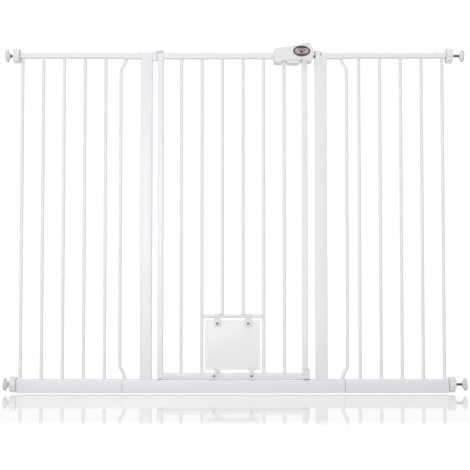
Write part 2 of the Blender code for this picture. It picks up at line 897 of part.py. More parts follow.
def build_levers():
    front = -DOOR_DEPTH / 2 - GAP
    lean = {"left": LEVER_REST_ANGLE, "right": 0.0}
    for name, x in lever_centres().items():
        lever = outline(f"{name}_flap_lever", lever_points(), -LEVER_THICKNESS / 2, LEVER_THICKNESS, PLASTIC)
        turn = Matrix.Rotation(lean[name], 4, "Y")
        lever.matrix_world = (
            Matrix.Translation((x, front - LEVER_THICKNESS / 2, LEVER_Z)) @ turn @ lever.matrix_world
        )
        cut(lever, rod(f"{name}_lever_bore", (x, -20 * MM, LEVER_Z), (x, 0, LEVER_Z), SCREW_BORE))
        build_screw(f"{name}_lever_screw", (x, front - LEVER_THICKNESS - GAP, LEVER_Z), 12 * MM)


def main():
    build_threshold()
    build_posts()
    build_stubs()
    build_side_bars()
    build_extension_panels()
    build_joining_pins()
    build_adjusters()
    build_door_frame()
    build_door_bars()
    build_upper_hinge()
    build_latch_housing()
    build_release()
    build_strike()
    build_lock_foot()
    build_flap()
    build_levers()


main()
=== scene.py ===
"""Finished look of a pressure-mount pet gate, built around its packed engineering model."""

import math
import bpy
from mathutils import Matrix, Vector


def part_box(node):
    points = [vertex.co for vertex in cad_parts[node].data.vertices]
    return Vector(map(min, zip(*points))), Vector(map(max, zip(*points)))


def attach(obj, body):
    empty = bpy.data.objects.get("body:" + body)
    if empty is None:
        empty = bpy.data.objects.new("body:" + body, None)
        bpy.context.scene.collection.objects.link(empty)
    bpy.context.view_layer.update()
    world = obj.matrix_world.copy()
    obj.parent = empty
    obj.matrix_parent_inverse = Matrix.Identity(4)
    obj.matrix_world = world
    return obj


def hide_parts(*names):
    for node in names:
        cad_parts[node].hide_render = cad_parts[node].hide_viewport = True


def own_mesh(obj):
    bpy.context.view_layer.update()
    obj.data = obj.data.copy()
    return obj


bl_info = {
    "name": "Pet Gate Finish",
    "version": (1, 0, 0),
    "blender": (4, 5, 0),
    "location": "View3D > Sidebar > Pet Gate",
    "description": "Dresses a steel pet gate with tubes, welds, threads, mouldings and a studio",
    "category": "Object",
}

import bmesh
import bpy
from bpy.props import FloatProperty, FloatVectorProperty, IntProperty, PointerProperty
from mathutils import Matrix, Vector

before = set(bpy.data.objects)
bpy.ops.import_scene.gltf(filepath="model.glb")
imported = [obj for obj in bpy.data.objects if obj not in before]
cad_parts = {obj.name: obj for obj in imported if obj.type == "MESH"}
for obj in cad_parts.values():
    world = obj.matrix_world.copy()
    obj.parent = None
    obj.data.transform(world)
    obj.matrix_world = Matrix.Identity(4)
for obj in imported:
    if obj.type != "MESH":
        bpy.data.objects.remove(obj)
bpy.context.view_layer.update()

MM = 0.001
CORNERS = ("left_top", "left_bottom", "right_top", "right_bottom")
SIDES = {"left": -1, "right": 1}
PANEL_FIRST_BAR = {"left": 393.5 * MM, "right": 385 * MM}
PANEL_BAR_PITCH = 64 * MM
BAR_RADIUS = 5 * MM
GAP = 0.3 * MM  # kept between pieces that touch


def linear(hex_colour):
    """An sRGB hex colour as linear red, green and blue."""
    parts = [int(hex_colour[i : i + 2], 16) / 255 for i in (1, 3, 5)]
    return tuple(c / 12.92 if c <= 0.04045 else ((c + 0.055) / 1.055) ** 2.4 for c in parts)


def in_mm(*points):
    """Points given in millimetres."""
    return [tuple(value * MM for value in point) for point in points]


def from_corner(x, z, *points):
    """Outline points with corner radii, given in millimetres from a corner."""
    return [(x + across * MM, z + up * MM, radius * MM) for across, up, radius in points]


def low(node):
    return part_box(node)[0]


def high(node):
    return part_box(node)[1]


def middle(node):
    lower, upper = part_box(node)
    return (lower + upper) / 2


# Properties


def colour_property(name, description, hex_colour):
    return FloatVectorProperty(
        name=name, description=description, subtype="COLOR", size=3, min=0, max=1, default=linear(hex_colour)
    )


def length_property(name, description, millimetres, lowest=0.0):
    return FloatProperty(
        name=name, description=description, unit="LENGTH", default=millimetres * MM, min=lowest
    )


def power_property(name, description, watts):
    return FloatProperty(name=name, description=description, unit="POWER", default=watts, min=0)


class GateColours(bpy.types.PropertyGroup):
    powder: colour_property("Powder coat", "White of the coated steel", "#e8e8ec")
    moulding: colour_property("Mouldings", "White of the moulded ABS", "#e5e4e6")
    flap: colour_property("Flap", "White of the flap's sheet", "#f2f0f3")
    thread: colour_property("Threaded rod", "Grey of the zinc-plated rod", "#8a8a8c")
    screw: colour_property("Screws", "Grey of the screw heads", "#8e8e90")
    rubber: colour_property("Wall pads", "Grey of the rubber faces", "#cfcfd0")
    badge_ring: colour_property("Badge ring", "Plum of the badge's ring", "#4a3a42")
    badge_face: colour_property("Badge face", "Mauve grey of the badge's face", "#beb4bb")


class GateSizes(bpy.types.PropertyGroup):
    tube_wall: length_property("Tube wall", "Wall of the square tube", 1.2)
    tube_corner: length_property("Tube corner", "Outer corner radius of the square tube", 3.0)
    weld: length_property("Weld", "Throat of the weld fillets", 1.6)
    thread_pitch: length_property("Thread pitch", "Pitch of the wall spindles", 2.0)
    thread_depth: length_property("Thread depth", "Depth of the wall spindles' thread", 0.9)
    lobe_depth: length_property("Lobe depth", "Depth of the hollows round a wheel", 2.8)
    housing_corner: length_property("Housing corner", "Radius of the latch housing's front edge", 4.5)
    housing_wall: length_property("Housing wall", "Wall of the latch housing", 2.2)
    wheel_lobes: IntProperty(name="Wheel lobes", description="Finger lobes round a wheel", default=8, min=3)


class GateStudio(bpy.types.PropertyGroup):
    distance: length_property("Camera distance", "From the gate's plane", 2800)
    height: length_property("Camera height", "Above the floor", 370)
    aim: length_property("Aim height", "Where the camera looks", 479.1)
    shift_x: length_property("Camera side", "Offset along the gate", 4, lowest=-1.0)
    lens: FloatProperty(name="Lens", description="Focal length", unit="CAMERA", default=70.15, min=10)
    overhead_power: power_property("Overhead power", "Panel above the gate", 25)
    side_power: power_property("Side power", "Panel to the front left", 7)
    floor_power: power_property("Floor power", "Low strip in front of the gate", 7)
    catch_power: power_property("Catch power", "Softbox beside the camera", 14)
    surround: FloatProperty(name="Surround", description="Brightness around the set", default=0.555, min=0)
    window: FloatProperty(name="Window", description="Brightness behind the gate", default=1.08, min=0)
    backdrop: colour_property("Backdrop", "Table under the gate", "#ffffff")


# Materials


def add_node(tree, kind, links=None, **settings):
    """Add a node, give it its settings, and link or fill its inputs."""
    made = tree.nodes.new(kind)
    for name, value in settings.items():
        setattr(made, name, value)
    for socket, source in (links or {}).items():
        if isinstance(source, bpy.types.NodeSocket):
            tree.links.new(source, made.inputs[socket])
        else:
            made.inputs[socket].default_value = source
    return made


def new_material(name, base, roughness, metallic=0.0, **sockets):
    """A named Principled material, and its tree, shader and object coordinates."""
    material = bpy.data.materials.new(name)
    material.use_nodes = True
    tree = material.node_tree
    shader = tree.nodes["Principled BSDF"]
    shader.inputs["Base Color"].default_value = (*base, 1)
    shader.inputs["Roughness"].default_value = roughness
    shader.inputs["Metallic"].default_value = metallic
    for socket, value in sockets.items():
        shader.inputs[socket].default_value = value
    place = add_node(tree, "ShaderNodeTexCoord").outputs["Object"]
    return tree, shader, place


def per_metre(millimetres):
    """The texture scale that gives a pattern of this size."""
    return 1 / (millimetres * MM)


def noise(tree, place, size_mm, detail, distortion=0.0):
    """Noise in the piece's own space, with features of about this size."""
    links = {"Vector": place, "Scale": per_metre(size_mm), "Detail": detail, "Distortion": distortion}
    return add_node(tree, "ShaderNodeTexNoise", links).outputs["Fac"]


def mix_colours(tree, shader, factor, first, second):
    links = {"Factor": factor, "A": (*first, 1), "B": (*second, 1)}
    mixed = add_node(tree, "ShaderNodeMix", links, data_type="RGBA")
    tree.links.new(mixed.outputs["Result"], shader.inputs["Base Color"])


def vary_colour(tree, shader, place, base, size_mm, amount):
    """Cloud a base colour a little lighter and darker."""
    dark = [c * (1 - amount) for c in base]
    light = [min(c * (1 + amount), 1.0) for c in base]
    mix_colours(tree, shader, noise(tree, place, size_mm, 3.0), dark, light)


def vary_roughness(tree, shader, place, size_mm, lowest, highest):
    links = {"Value": noise(tree, place, size_mm, 4.0), "To Min": lowest, "To Max": highest}
    spread = add_node(tree, "ShaderNodeMapRange", links)
    tree.links.new(spread.outputs["Result"], shader.inputs["Roughness"])


def raise_bump(tree, shader, height, depth_mm, strength):
    links = {"Height": height, "Distance": depth_mm * MM, "Strength": strength}
    bump = add_node(tree, "ShaderNodeBump", links)
    tree.links.new(bump.outputs["Normal"], shader.inputs["Normal"])


def powder_coated_steel(colours):
    """Baked polyester powder: flows out to a fine orange peel, so highlights break up softly."""
    base = tuple(colours.powder)
    tree, shader, place = new_material(
        "powder-coated steel", base, 0.36, **{"IOR": 1.5, "Coat Weight": 0.15, "Coat Roughness": 0.2}
    )
    vary_colour(tree, shader, place, base, 60, 0.008)
    vary_roughness(tree, shader, place, 8, 0.32, 0.42)
    peel = noise(tree, place, 2.2, 2.0)
    raise_bump(tree, shader, peel, 0.05, 0.35)


def moulded_abs(colours):
    """Injection-moulded ABS from a spark-eroded tool: an even satin grain with a soft sheen."""
    base = tuple(colours.moulding)
    tree, shader, place = new_material("moulded ABS", base, 0.45, **{"IOR": 1.53})
    vary_colour(tree, shader, place, base, 35, 0.01)
    grain = noise(tree, place, 0.9, 3.0)
    raise_bump(tree, shader, grain, 0.04, 0.3)
    vary_roughness(tree, shader, place, 5, 0.4, 0.52)


def moulded_polypropylene(colours):
    """Moulded polypropylene sheet: waxy and smooth, with faint flow waves across it."""
    base = tuple(colours.flap)
    tree, shader, place = new_material("moulded polypropylene", base, 0.34, **{"IOR": 1.49})
    vary_colour(tree, shader, place, base, 45, 0.012)
    waves = noise(tree, place, 18, 1.0, distortion=0.6)
    raise_bump(tree, shader, waves, 0.12, 0.3)
    vary_roughness(tree, shader, place, 12, 0.3, 0.4)


def zinc_plated_steel(name, base):
    """Bright zinc over rolled or turned steel: cool grey, clouded by the plating's crystals."""
    tree, shader, place = new_material(name, base, 0.38, metallic=1.0)
    crystals = add_node(tree, "ShaderNodeTexVoronoi", {"Vector": place, "Scale": per_metre(1.6)})
    dark = [c * 0.72 for c in base]
    mix_colours(tree, shader, crystals.outputs["Distance"], dark, base)
    vary_roughness(tree, shader, place, 1.2, 0.28, 0.5)


def thermoplastic_rubber(colours):
    """Soft moulded rubber: matt and slightly dusty, with a fine leather-like grain."""
    base = tuple(colours.rubber)
    tree, shader, place = new_material("thermoplastic rubber", base, 0.78, **{"IOR": 1.5})
    vary_colour(tree, shader, place, base, 9, 0.03)
    grain = add_node(tree, "ShaderNodeTexVoronoi", {"Vector": place, "Scale": per_metre(0.8)})
    raise_bump(tree, shader, grain.outputs["Distance"], 0.05, 0.4)


def badge_enamel(colours):
    """Glossy doming enamel on the badge's ring: deep plum with a wet highlight."""
    base = tuple(colours.badge_ring)
    tree, shader, place = new_material(
        "doming enamel", base, 0.22, **{"IOR": 1.5, "Coat Weight": 0.6, "Coat Roughness": 0.08}
    )
    vary_colour(tree, shader, place, base, 6, 0.08)
    waves = noise(tree, place, 4, 1.0)
    raise_bump(tree, shader, waves, 0.03, 0.2)


def brushed_badge_foil(colours):
    """Brushed aluminium foil under the badge's lacquer: fine level lines and a silky grey."""
    base = tuple(colours.badge_face)
    tree, shader, place = new_material("brushed aluminium foil", base, 0.35, metallic=0.35)
    stretched = add_node(tree, "ShaderNodeMapping", {"Vector": place, "Scale": (0.03, 1.0, 1.0)})
    lines = noise(tree, stretched.outputs["Vector"], 0.35, 2.0)
    dark = [c * 0.85 for c in base]
    mix_colours(tree, shader, lines, dark, base)
    raise_bump(tree, shader, lines, 0.02, 0.3)


def lit_acrylic(studio):
    """White acrylic lit from below: glossy beside the gate, fading to an even white at the front."""
    glow = tuple(studio.backdrop)
    base = tuple(0.2 * part for part in glow)
    tree, shader, place = new_material("glossy white acrylic", base, 0.07, **{"IOR": 1.5})
    shader.inputs["Emission Color"].default_value = (*glow, 1)
    vary_roughness(tree, shader, place, 400, 0.05, 0.08)
    parts = add_node(tree, "ShaderNodeSeparateXYZ", {"Vector": place})
    span = {"Value": parts.outputs["Y"], "From Min": -0.66, "From Max": -0.5}
    for socket, front, back in (("Emission Strength", 0.84, 0.4), ("Specular IOR Level", 0.0, 0.5)):
        fade = add_node(tree, "ShaderNodeMapRange", {**span, "To Min": front, "To Max": back})
        tree.links.new(fade.outputs["Result"], shader.inputs[socket])


# Mesh helpers


def finished(name, form, body, material, replaces=(), smooth=35):
    """Turn a mesh under construction into a piece of the gate that rides on a body."""
    bmesh.ops.recalc_face_normals(form, faces=form.faces)
    mesh = bpy.data.meshes.new(name)
    form.to_mesh(mesh)
    form.free()
    mesh.materials.append(bpy.data.materials[material])
    mesh.shade_smooth()
    mesh.set_sharp_from_angle(angle=math.radians(smooth))
    obj = bpy.data.objects.new(name, mesh)
    bpy.context.scene.collection.objects.link(obj)
    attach(obj, body)
    if replaces:
        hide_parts(*replaces)
    return obj


def steel_piece(name, form, body, replaces=()):
    return finished(name, form, body, "powder-coated steel", replaces)


def plastic_piece(name, form, body, replaces=()):
    return finished(name, form, body, "moulded ABS", replaces)


def refinish(node, material):
    """Give a piece that keeps its modelled shape its real finish."""
    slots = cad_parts[node].data.materials
    slots.clear()
    slots.append(bpy.data.materials[material])


def turn_to(direction):
    """The matrix that stands +Z along a direction."""
    return Vector(direction).to_track_quat("Z", "Y").to_matrix().to_4x4()


def lathe(profile, at, direction=(0, 0, 1), steps=48):
    """Turn a profile of (radius, height) about an axis through a point."""
    form = bmesh.new()
    ring = [form.verts.new((radius, 0, height)) for radius, height in profile]
    edges = [form.edges.new(pair) for pair in zip(ring, ring[1:])]
    bmesh.ops.spin(
        form,
        geom=ring + edges,
        angle=2 * math.pi,
        steps=steps,
        axis=(0, 0, 1),
        cent=(0, 0, 0),
        use_merge=True,
    )
    bmesh.ops.remove_doubles(form, verts=form.verts, dist=0.01 * MM)
    form.transform(Matrix.Translation(at) @ turn_to(direction))
    return form


def arc(centre, radius, first, last, steps):
    """Points on an arc between two angles in degrees, both ends included."""
    angles = [math.radians(first + (last - first) * i / steps) for i in range(steps + 1)]
    return [(centre[0] + radius * math.cos(a), centre[1] + radius * math.sin(a)) for a in angles]


def rounded_rectangle(width, height, radius, steps=5):
    """A rectangle about the origin with round corners, anticlockwise."""
    across, up = width / 2 - radius, height / 2 - radius
    corners = ((across, up, 0), (-across, up, 90), (-across, -up, 180), (across, -up, 270))
    return [point for x, y, start in corners for point in arc((x, y), radius, start, start + 90, steps)]


def rounded_outline(points, radius, steps=5):
    """Round each corner of a polygon. A point may carry its own radius as a third value."""
    result = []
    count = len(points)
    for index, point in enumerate(points):
        here = Vector(point[:2])
        before = Vector(points[index - 1][:2]) - here
        after = Vector(points[(index + 1) % count][:2]) - here
        wanted = point[2] if len(point) > 2 else radius
        half_angle = before.angle(after) / 2
        cut_back = wanted / math.tan(half_angle)
        cut_back = min(cut_back, 0.45 * before.length, 0.45 * after.length)
        first = here + before.normalized() * cut_back
        last = here + after.normalized() * cut_back
        for step in range(steps + 1):
            t = step / steps
            result.append(tuple((1 - t) ** 2 * first + 2 * t * (1 - t) * here + t**2 * last))
    return result


def inset(points, distance):
    """Move each side of an anticlockwise polygon inwards, and adapt its corner radii."""
    result = []
    count = len(points)
    for index, point in enumerate(points):
        here = Vector(point[:2])
        before = (here - Vector(points[index - 1][:2])).normalized()
        after = (Vector(points[(index + 1) % count][:2]) - here).normalized()
        bisector = Vector((-before.y - after.y, before.x + after.x)).normalized()
        reach = distance / max(0.3, Vector((-before.y, before.x)).dot(bisector))
        turn = 1 if before.cross(after) > 0 else -1
        moved = here + bisector * reach
        result.append((moved.x, moved.y, max(0.4 * MM, point[2] - turn * distance)))
    return result


PLANES = {
    "XZ": Matrix(((1, 0, 0, 0), (0, 0, 1, 0), (0, 1, 0, 0), (0, 0, 0, 1))),
    "XY": Matrix.Identity(4),
    "YZ": Matrix(((0, 0, 1, 0), (1, 0, 0, 0), (0, 1, 0, 0), (0, 0, 0, 1))),
}


def slab(points, start, end, plane="XZ", edge=0.0, segments=3):
    """Extrude an outline from start to end across its plane, with rounded rims."""
    form = bmesh.new()
    outline = [form.verts.new((across, up, start)) for across, up in points]
    face = form.faces.new(outline)
    extruded = bmesh.ops.extrude_face_region(form, geom=[face])
    moved = [item for item in extruded["geom"] if isinstance(item, bmesh.types.BMVert)]
    bmesh.ops.translate(form, verts=moved, vec=(0, 0, end - start))
    bmesh.ops.recalc_face_normals(form, faces=form.faces)
    if edge:
        rims = [e for e in form.edges if len({f for f in e.link_faces if len(f.verts) > 4}) == 1]
        rims = rims if len(points) > 4 else list(form.edges)
        bmesh.ops.bevel(form, geom=rims, offset=edge, segments=segments, affect="EDGES", profile=0.5)
    form.transform(PLANES[plane])
    return form


def merge(form, *others):
    """Add other meshes to one under construction."""
    for other in others:
        spare = bpy.data.meshes.new("spare")
        other.to_mesh(spare)
        other.free()
        form.from_mesh(spare)
        bpy.data.meshes.remove(spare)
    return form


def bridge(form, rings, closed=False):
    """Skin a row of rings, and join the last to the first if closed."""
    following = [*rings[1:], rings[0]] if closed else rings[1:]
    for ring, after in zip(rings, following):
        for i in range(len(ring)):
            j = (i + 1) % len(ring)
            form.faces.new((ring[i], ring[j], after[j], after[i]))


def square_tube(lower, upper, axis, sizes):
    """A square tube that fills a box along one axis, open at its ends."""
    lower, upper = Vector(lower), Vector(upper)
    size, centre = upper - lower, (lower + upper) / 2
    planes = {"X": ("YZ", size.y, size.z, size.x), "Z": ("XY", size.x, size.y, size.z)}
    plane, width, height, length = planes[axis]
    wall = sizes.tube_wall
    outer = rounded_rectangle(width, height, sizes.tube_corner)
    inner = rounded_rectangle(width - 2 * wall, height - 2 * wall, sizes.tube_corner - wall)
    form = bmesh.new()
    rings = []
    for outline, z in ((outer, -1), (outer, 1), (inner, 1), (inner, -1)):
        rings.append([form.verts.new((x, y, z * length / 2)) for x, y in outline])
    bridge(form, rings, closed=True)
    form.transform(PLANES[plane])
    form.transform(Matrix.Translation(centre))
    return form


def weld_fillet(radius, weld):
    """The hollow slope of a weld round a bar's end."""
    return [(radius + weld, 0.0), (radius + 0.45 * weld, 0.2 * weld), (radius + 0.12 * weld, 0.6 * weld)]


def welded_bar(start, end, radius, weld):
    """A round bar with a weld fillet at each end."""
    start, end = Vector(start), Vector(end)
    length = (end - start).length
    foot = [(0.0, 0.0), *weld_fillet(radius, weld), (radius, 1.3 * weld)]
    return lathe(foot + [(r, length - h) for r, h in reversed(foot)], start, end - start, steps=28)


def pipe(points, radius, sides=12, closed=False):
    """Sweep a circle along a line of points."""
    form = bmesh.new()
    points = [Vector(point) for point in points]
    count = len(points)
    rings = []
    up = None
    angles = [2 * math.pi * k / sides for k in range(sides)]
    for index, here in enumerate(points):
        before = points[index - 1] if index or closed else here
        after = points[(index + 1) % count] if index < count - 1 or closed else here
        forward = (after - before).normalized()
        if up is None:
            up = forward.orthogonal().normalized()
        up = (up - forward * up.dot(forward)).normalized()
        side = forward.cross(up)
        spots = [here + radius * (math.cos(a) * up + math.sin(a) * side) for a in angles]
        rings.append([form.verts.new(spot) for spot in spots])
    bridge(form, rings, closed)
    if not closed:
        form.faces.new(rings[0][::-1])
        form.faces.new(rings[-1])
    return form


def bent_line(points, radius, steps=6):
    """A line of points with its inner corners rounded."""
    points = [Vector(point) for point in points]
    result = [points[0]]
    for before, here, after in zip(points, points[1:], points[2:]):
        first = here + (before - here).normalized() * radius
        last = here + (after - here).normalized() * radius
        for step in range(steps + 1):
            t = step / steps
            result.append((1 - t) ** 2 * first + 2 * t * (1 - t) * here + t**2 * last)
    return result + [points[-1]]


def weld_loop(centre, width, height, plane, radius):
    """A bead of weld round the foot of a square tube."""
    outline = rounded_rectangle(width, height, 2.4 * MM, steps=3)
    dense = []
    for (x0, y0), (x1, y1) in zip(outline, outline[1:] + outline[:1]):
        length = math.hypot(x1 - x0, y1 - y0)
        parts = max(1, round(length / (2.5 * MM)))
        dense += [(x0 + (x1 - x0) * k / parts, y0 + (y1 - y0) * k / parts, 0.0) for k in range(parts)]
    form = pipe(dense, radius, sides=8, closed=True)
    form.transform(Matrix.Translation(centre) @ PLANES[plane])
    return form


def cut_away(obj, *forms):
    """Cut meshes out of a finished piece, and keep its materials and shading."""
    for form in forms:
        bmesh.ops.recalc_face_normals(form, faces=form.faces)
        mesh = bpy.data.meshes.new("cutter")
        form.to_mesh(mesh)
        form.free()
        cutter = bpy.data.objects.new("cutter", mesh)
        bpy.context.scene.collection.objects.link(cutter)
        modifier = obj.modifiers.new("cut", "BOOLEAN")
        modifier.operation = "DIFFERENCE"
        modifier.object = cutter
        shape = obj.evaluated_get(bpy.context.evaluated_depsgraph_get())
        cut = bpy.data.meshes.new_from_object(shape)
        obj.modifiers.remove(modifier)
        if not cut.polygons:
            raise RuntimeError(f"cutting {obj.name} left nothing")
        obj.data = cut
        bpy.data.objects.remove(cutter)
        bpy.data.meshes.remove(mesh)
    obj.data.set_sharp_from_angle(angle=math.radians(35))
    return obj


def block(lower, upper):
    """A plain box between two corners, for cutting."""
    lower, upper = Vector(lower), Vector(upper)
    form = bmesh.new()
    bmesh.ops.create_cube(form, size=1)
    form.transform(Matrix.Translation((lower + upper) / 2) @ Matrix.Diagonal((*(upper - lower), 1)))
    return form


def rod(start, end, radius, steps=32):
    """A plain round rod between two points."""
    start, end = Vector(start), Vector(end)
    length = (end - start).length
    return lathe([(0, 0), (radius, 0), (radius, length), (0, length)], start, end - start, steps)


def pan_head_screw(name, face, direction, radius, shank, body):
    """A pan-head screw with a cross recess. face is the middle of the head's underside."""
    tall = 0.62 * radius
    turns = (0, 0.35, 0.7, 1.05, 1.35)
    dome = [(radius * math.cos(a), tall * 0.4 + tall * 0.6 * math.sin(a)) for a in turns]
    profile = [(0, -shank), (0.5 * radius, -shank), (0.5 * radius, 0), (radius, 0), *dome, (0, tall)]
    form = lathe(profile, face, direction, 32)
    screw = finished(name, form, body, "zinc-plated screw")
    slot, reach = 0.16 * radius, 0.58 * radius
    recess = block((-slot, -reach, 0.35 * tall), (slot, reach, 2 * tall))
    other = block((-reach, -slot, 0.35 * tall), (reach, slot, 2 * tall))
    for form in (recess, other):
        form.transform(Matrix.Translation(face) @ turn_to(direction))
    return cut_away(screw, recess, other)


# Pieces


def make_main_frame(sizes):
    """The threshold, the posts and the short top rails, as welded square tube."""
    cap = 1.5 * MM
    bead = sizes.weld * 0.6
    tube = square_tube(*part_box("threshold_rail"), "X", sizes)
    threshold = steel_piece("threshold_tube", tube, "frame", ["threshold_rail"])
    pin = middle("lower_hinge_pin")
    top = high("threshold_rail").z
    cut_away(threshold, rod((pin.x, 0, top - 5 * MM), (pin.x, 0, top + 5 * MM), 3.9 * MM))
    for side in SIDES:
        node = f"{side}_post"
        lower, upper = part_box(node)
        width = upper.x - lower.x
        tube = square_tube(lower, (upper.x, upper.y, upper.z - cap), "Z", sizes)
        post = steel_piece(f"{side}_post_tube", tube, "frame", [node])
        if side == "right":
            strike = high("strike_block").x + GAP
            notch = (lower.x - 5 * MM, -0.05, low("strike_block").z - GAP)
            cut_away(post, block(notch, (strike, 0.05, upper.z + 5 * MM)))
            lower.x = strike
            width = upper.x - strike
        outline = rounded_rectangle(width, upper.y - lower.y, sizes.tube_corner)
        form = slab(outline, upper.z - cap, upper.z, "XY", edge=0.6 * MM)
        form.transform(Matrix.Translation(((lower.x + upper.x) / 2, 0, 0)))
        plastic_piece(f"{side}_post_cap", form, "frame")
        foot = (middle(node).x, 0, high("threshold_rail").z + GAP)
        weld = weld_loop(foot, 35.6 * MM, 18 * MM, "XY", bead)
        steel_piece(f"{side}_post_weld", weld, "frame")
        stub = f"{side}_top_stub"
        steel_piece(f"{side}_stub_tube", square_tube(*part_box(stub), "X", sizes), "frame", [stub])
        inner = low(stub).x if side == "right" else high(stub).x
        weld = weld_loop((inner, 0, middle(stub).z), 18 * MM, 17 * MM, "YZ", bead)
        steel_piece(f"{side}_stub_weld", weld, "frame")


def make_side_bars(sizes):
    """The bent bars that join stub and threshold on each side."""
    radius = BAR_RADIUS
    inner, weld = radius - 1 * MM, sizes.weld
    fillet = [
        (inner, 0.0),
        *weld_fillet(radius, weld),
        (radius - 0.05 * MM, 1.3 * weld),
        (inner, 1.3 * weld),
        (inner, 0.0),
    ]
    for side, sign in SIDES.items():
        node = f"{side}_side_bar"
        lower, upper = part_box(node)
        outer_x = (upper.x if sign > 0 else lower.x) - sign * radius
        end_x = outer_x - sign * 15 * MM
        bottom, top = lower.z - GAP, upper.z + GAP
        route = [
            (end_x, 0, bottom),
            (end_x, 0, bottom + 9 * MM),
            (outer_x, 0, bottom + 39 * MM),
            (outer_x, 0, top - 32 * MM),
            (end_x, 0, top - 8 * MM),
            (end_x, 0, top),
        ]
        bar = pipe(bent_line(route, 5 * MM), radius, sides=28)
        steel_piece(f"{side}_bent_bar", bar, "frame", [node])
        for label, z, way in (("foot", bottom, 1), ("head", top, -1)):
            form = lathe(fillet, (end_x, 0, z), (0, 0, way), 28)
            steel_piece(f"{side}_bent_bar_{label}_weld", form, "frame")


def wheel_face(node, sign):
    """Where a wheel's face meets the end of its rail."""
    return low(node).x if sign > 0 else high(node).x


def make_extension_panels(sizes):
    """Each panel's two tubes, five welded bars and the plugs in its outer ends."""
    bottom_top = high("threshold_rail").z
    for side, sign in SIDES.items():
        node = f"{side}_extension_panel"
        lower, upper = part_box(node)
        half = (upper.y - lower.y) / 2
        near = upper.x if sign < 0 else lower.x
        rail_bottom = upper.z - 16 * MM
        rails = {"top": (rail_bottom, upper.z, 0), "bottom": (lower.z, bottom_top, 0.7 * MM)}
        for level, (z0, z1, joint) in rails.items():
            end = wheel_face(f"{side}_{level}_wheel", sign) - sign * MM
            x0, x1 = sorted((near + sign * joint, end))
            tube = square_tube((x0, -half, z0), (x1, half, z1), "X", sizes)
            steel_piece(f"{side}_panel_{level}_rail", tube, "frame", [node])
            make_end_plug(f"{side}_{level}", end, sign, half, z0, z1)
        for number in range(5):
            x = sign * (PANEL_FIRST_BAR[side] + PANEL_BAR_PITCH * number)
            bar = welded_bar((x, 0, bottom_top), (x, 0, rail_bottom), BAR_RADIUS, sizes.weld)
            steel_piece(f"{side}_panel_bar_{number + 1}", bar, "frame", [node])


def make_end_plug(name, x, sign, half, z0, z1):
    """A moulded plug in a rail's end that guides the spindle."""
    spindle = middle(f"{name}_spindle")
    width, height = 2 * half - 0.2 * MM, z1 - z0 - 0.2 * MM
    outline = rounded_rectangle(width, height, 2.6 * MM)
    form = slab(outline, 0, 0.85 * MM, "YZ", edge=0.2 * MM)
    body = slab(rounded_rectangle(width - 2.4 * MM, height - 2.4 * MM, 1 * MM), -14 * MM, 0, "YZ")
    merge(form, body)
    form.transform(Matrix.Translation((x, 0, (z0 + z1) / 2)) @ Matrix.Diagonal((sign, 1, 1, 1)))
    plug = plastic_piece(f"{name}_end_plug", form, "frame")
    start = (x - sign * 20 * MM, 0, spindle.z)
    cut_away(plug, rod(start, (x + sign * 5 * MM, 0, spindle.z), 4.6 * MM))


def make_door(sizes):
    """The swinging door's tubes, bars and cross rail."""
    tubes = {"hinge_stile": "Z", "latch_stile": "Z", "door_top_rail": "X", "door_bottom_rail": "X"}
    for node, axis in tubes.items():
        steel_piece(f"{node}_tube", square_tube(*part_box(node), axis, sizes), "door", [node])
    rail_top = high("door_bottom_rail").z
    rail_bottom = low("door_top_rail").z
    for number in range(1, 7):
        node = f"door_bar_{number}"
        x = middle(node).x
        start = low(node).z - GAP if number in (3, 4) else rail_top
        bar = welded_bar((x, 0, start), (x, 0, rail_bottom), BAR_RADIUS, sizes.weld)
        steel_piece(f"{node}_welded", bar, "door", [node])
    lower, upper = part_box("flap_cross_rail")
    z = middle("flap_cross_rail").z
    overlap = 1.2 * MM
    cross = welded_bar((lower.x - overlap, 0, z), (upper.x + overlap, 0, z), BAR_RADIUS, sizes.weld)
    steel_piece("flap_cross_rail_welded", cross, "door", ["flap_cross_rail"])
    welds = {
        "hinge_stile_lower_weld": (high("hinge_stile").x, "door_bottom_rail", 14.5 * MM),
        "latch_stile_lower_weld": (low("latch_stile").x, "door_bottom_rail", 14.5 * MM),
        "hinge_stile_upper_weld": (high("hinge_stile").x, "door_top_rail", 16.5 * MM),
    }
    for name, (x, rail, tall) in welds.items():
        loop = weld_loop((x, 0, middle(rail).z), 16 * MM, tall, "YZ", sizes.weld * 0.6)
        steel_piece(name, loop, "door")


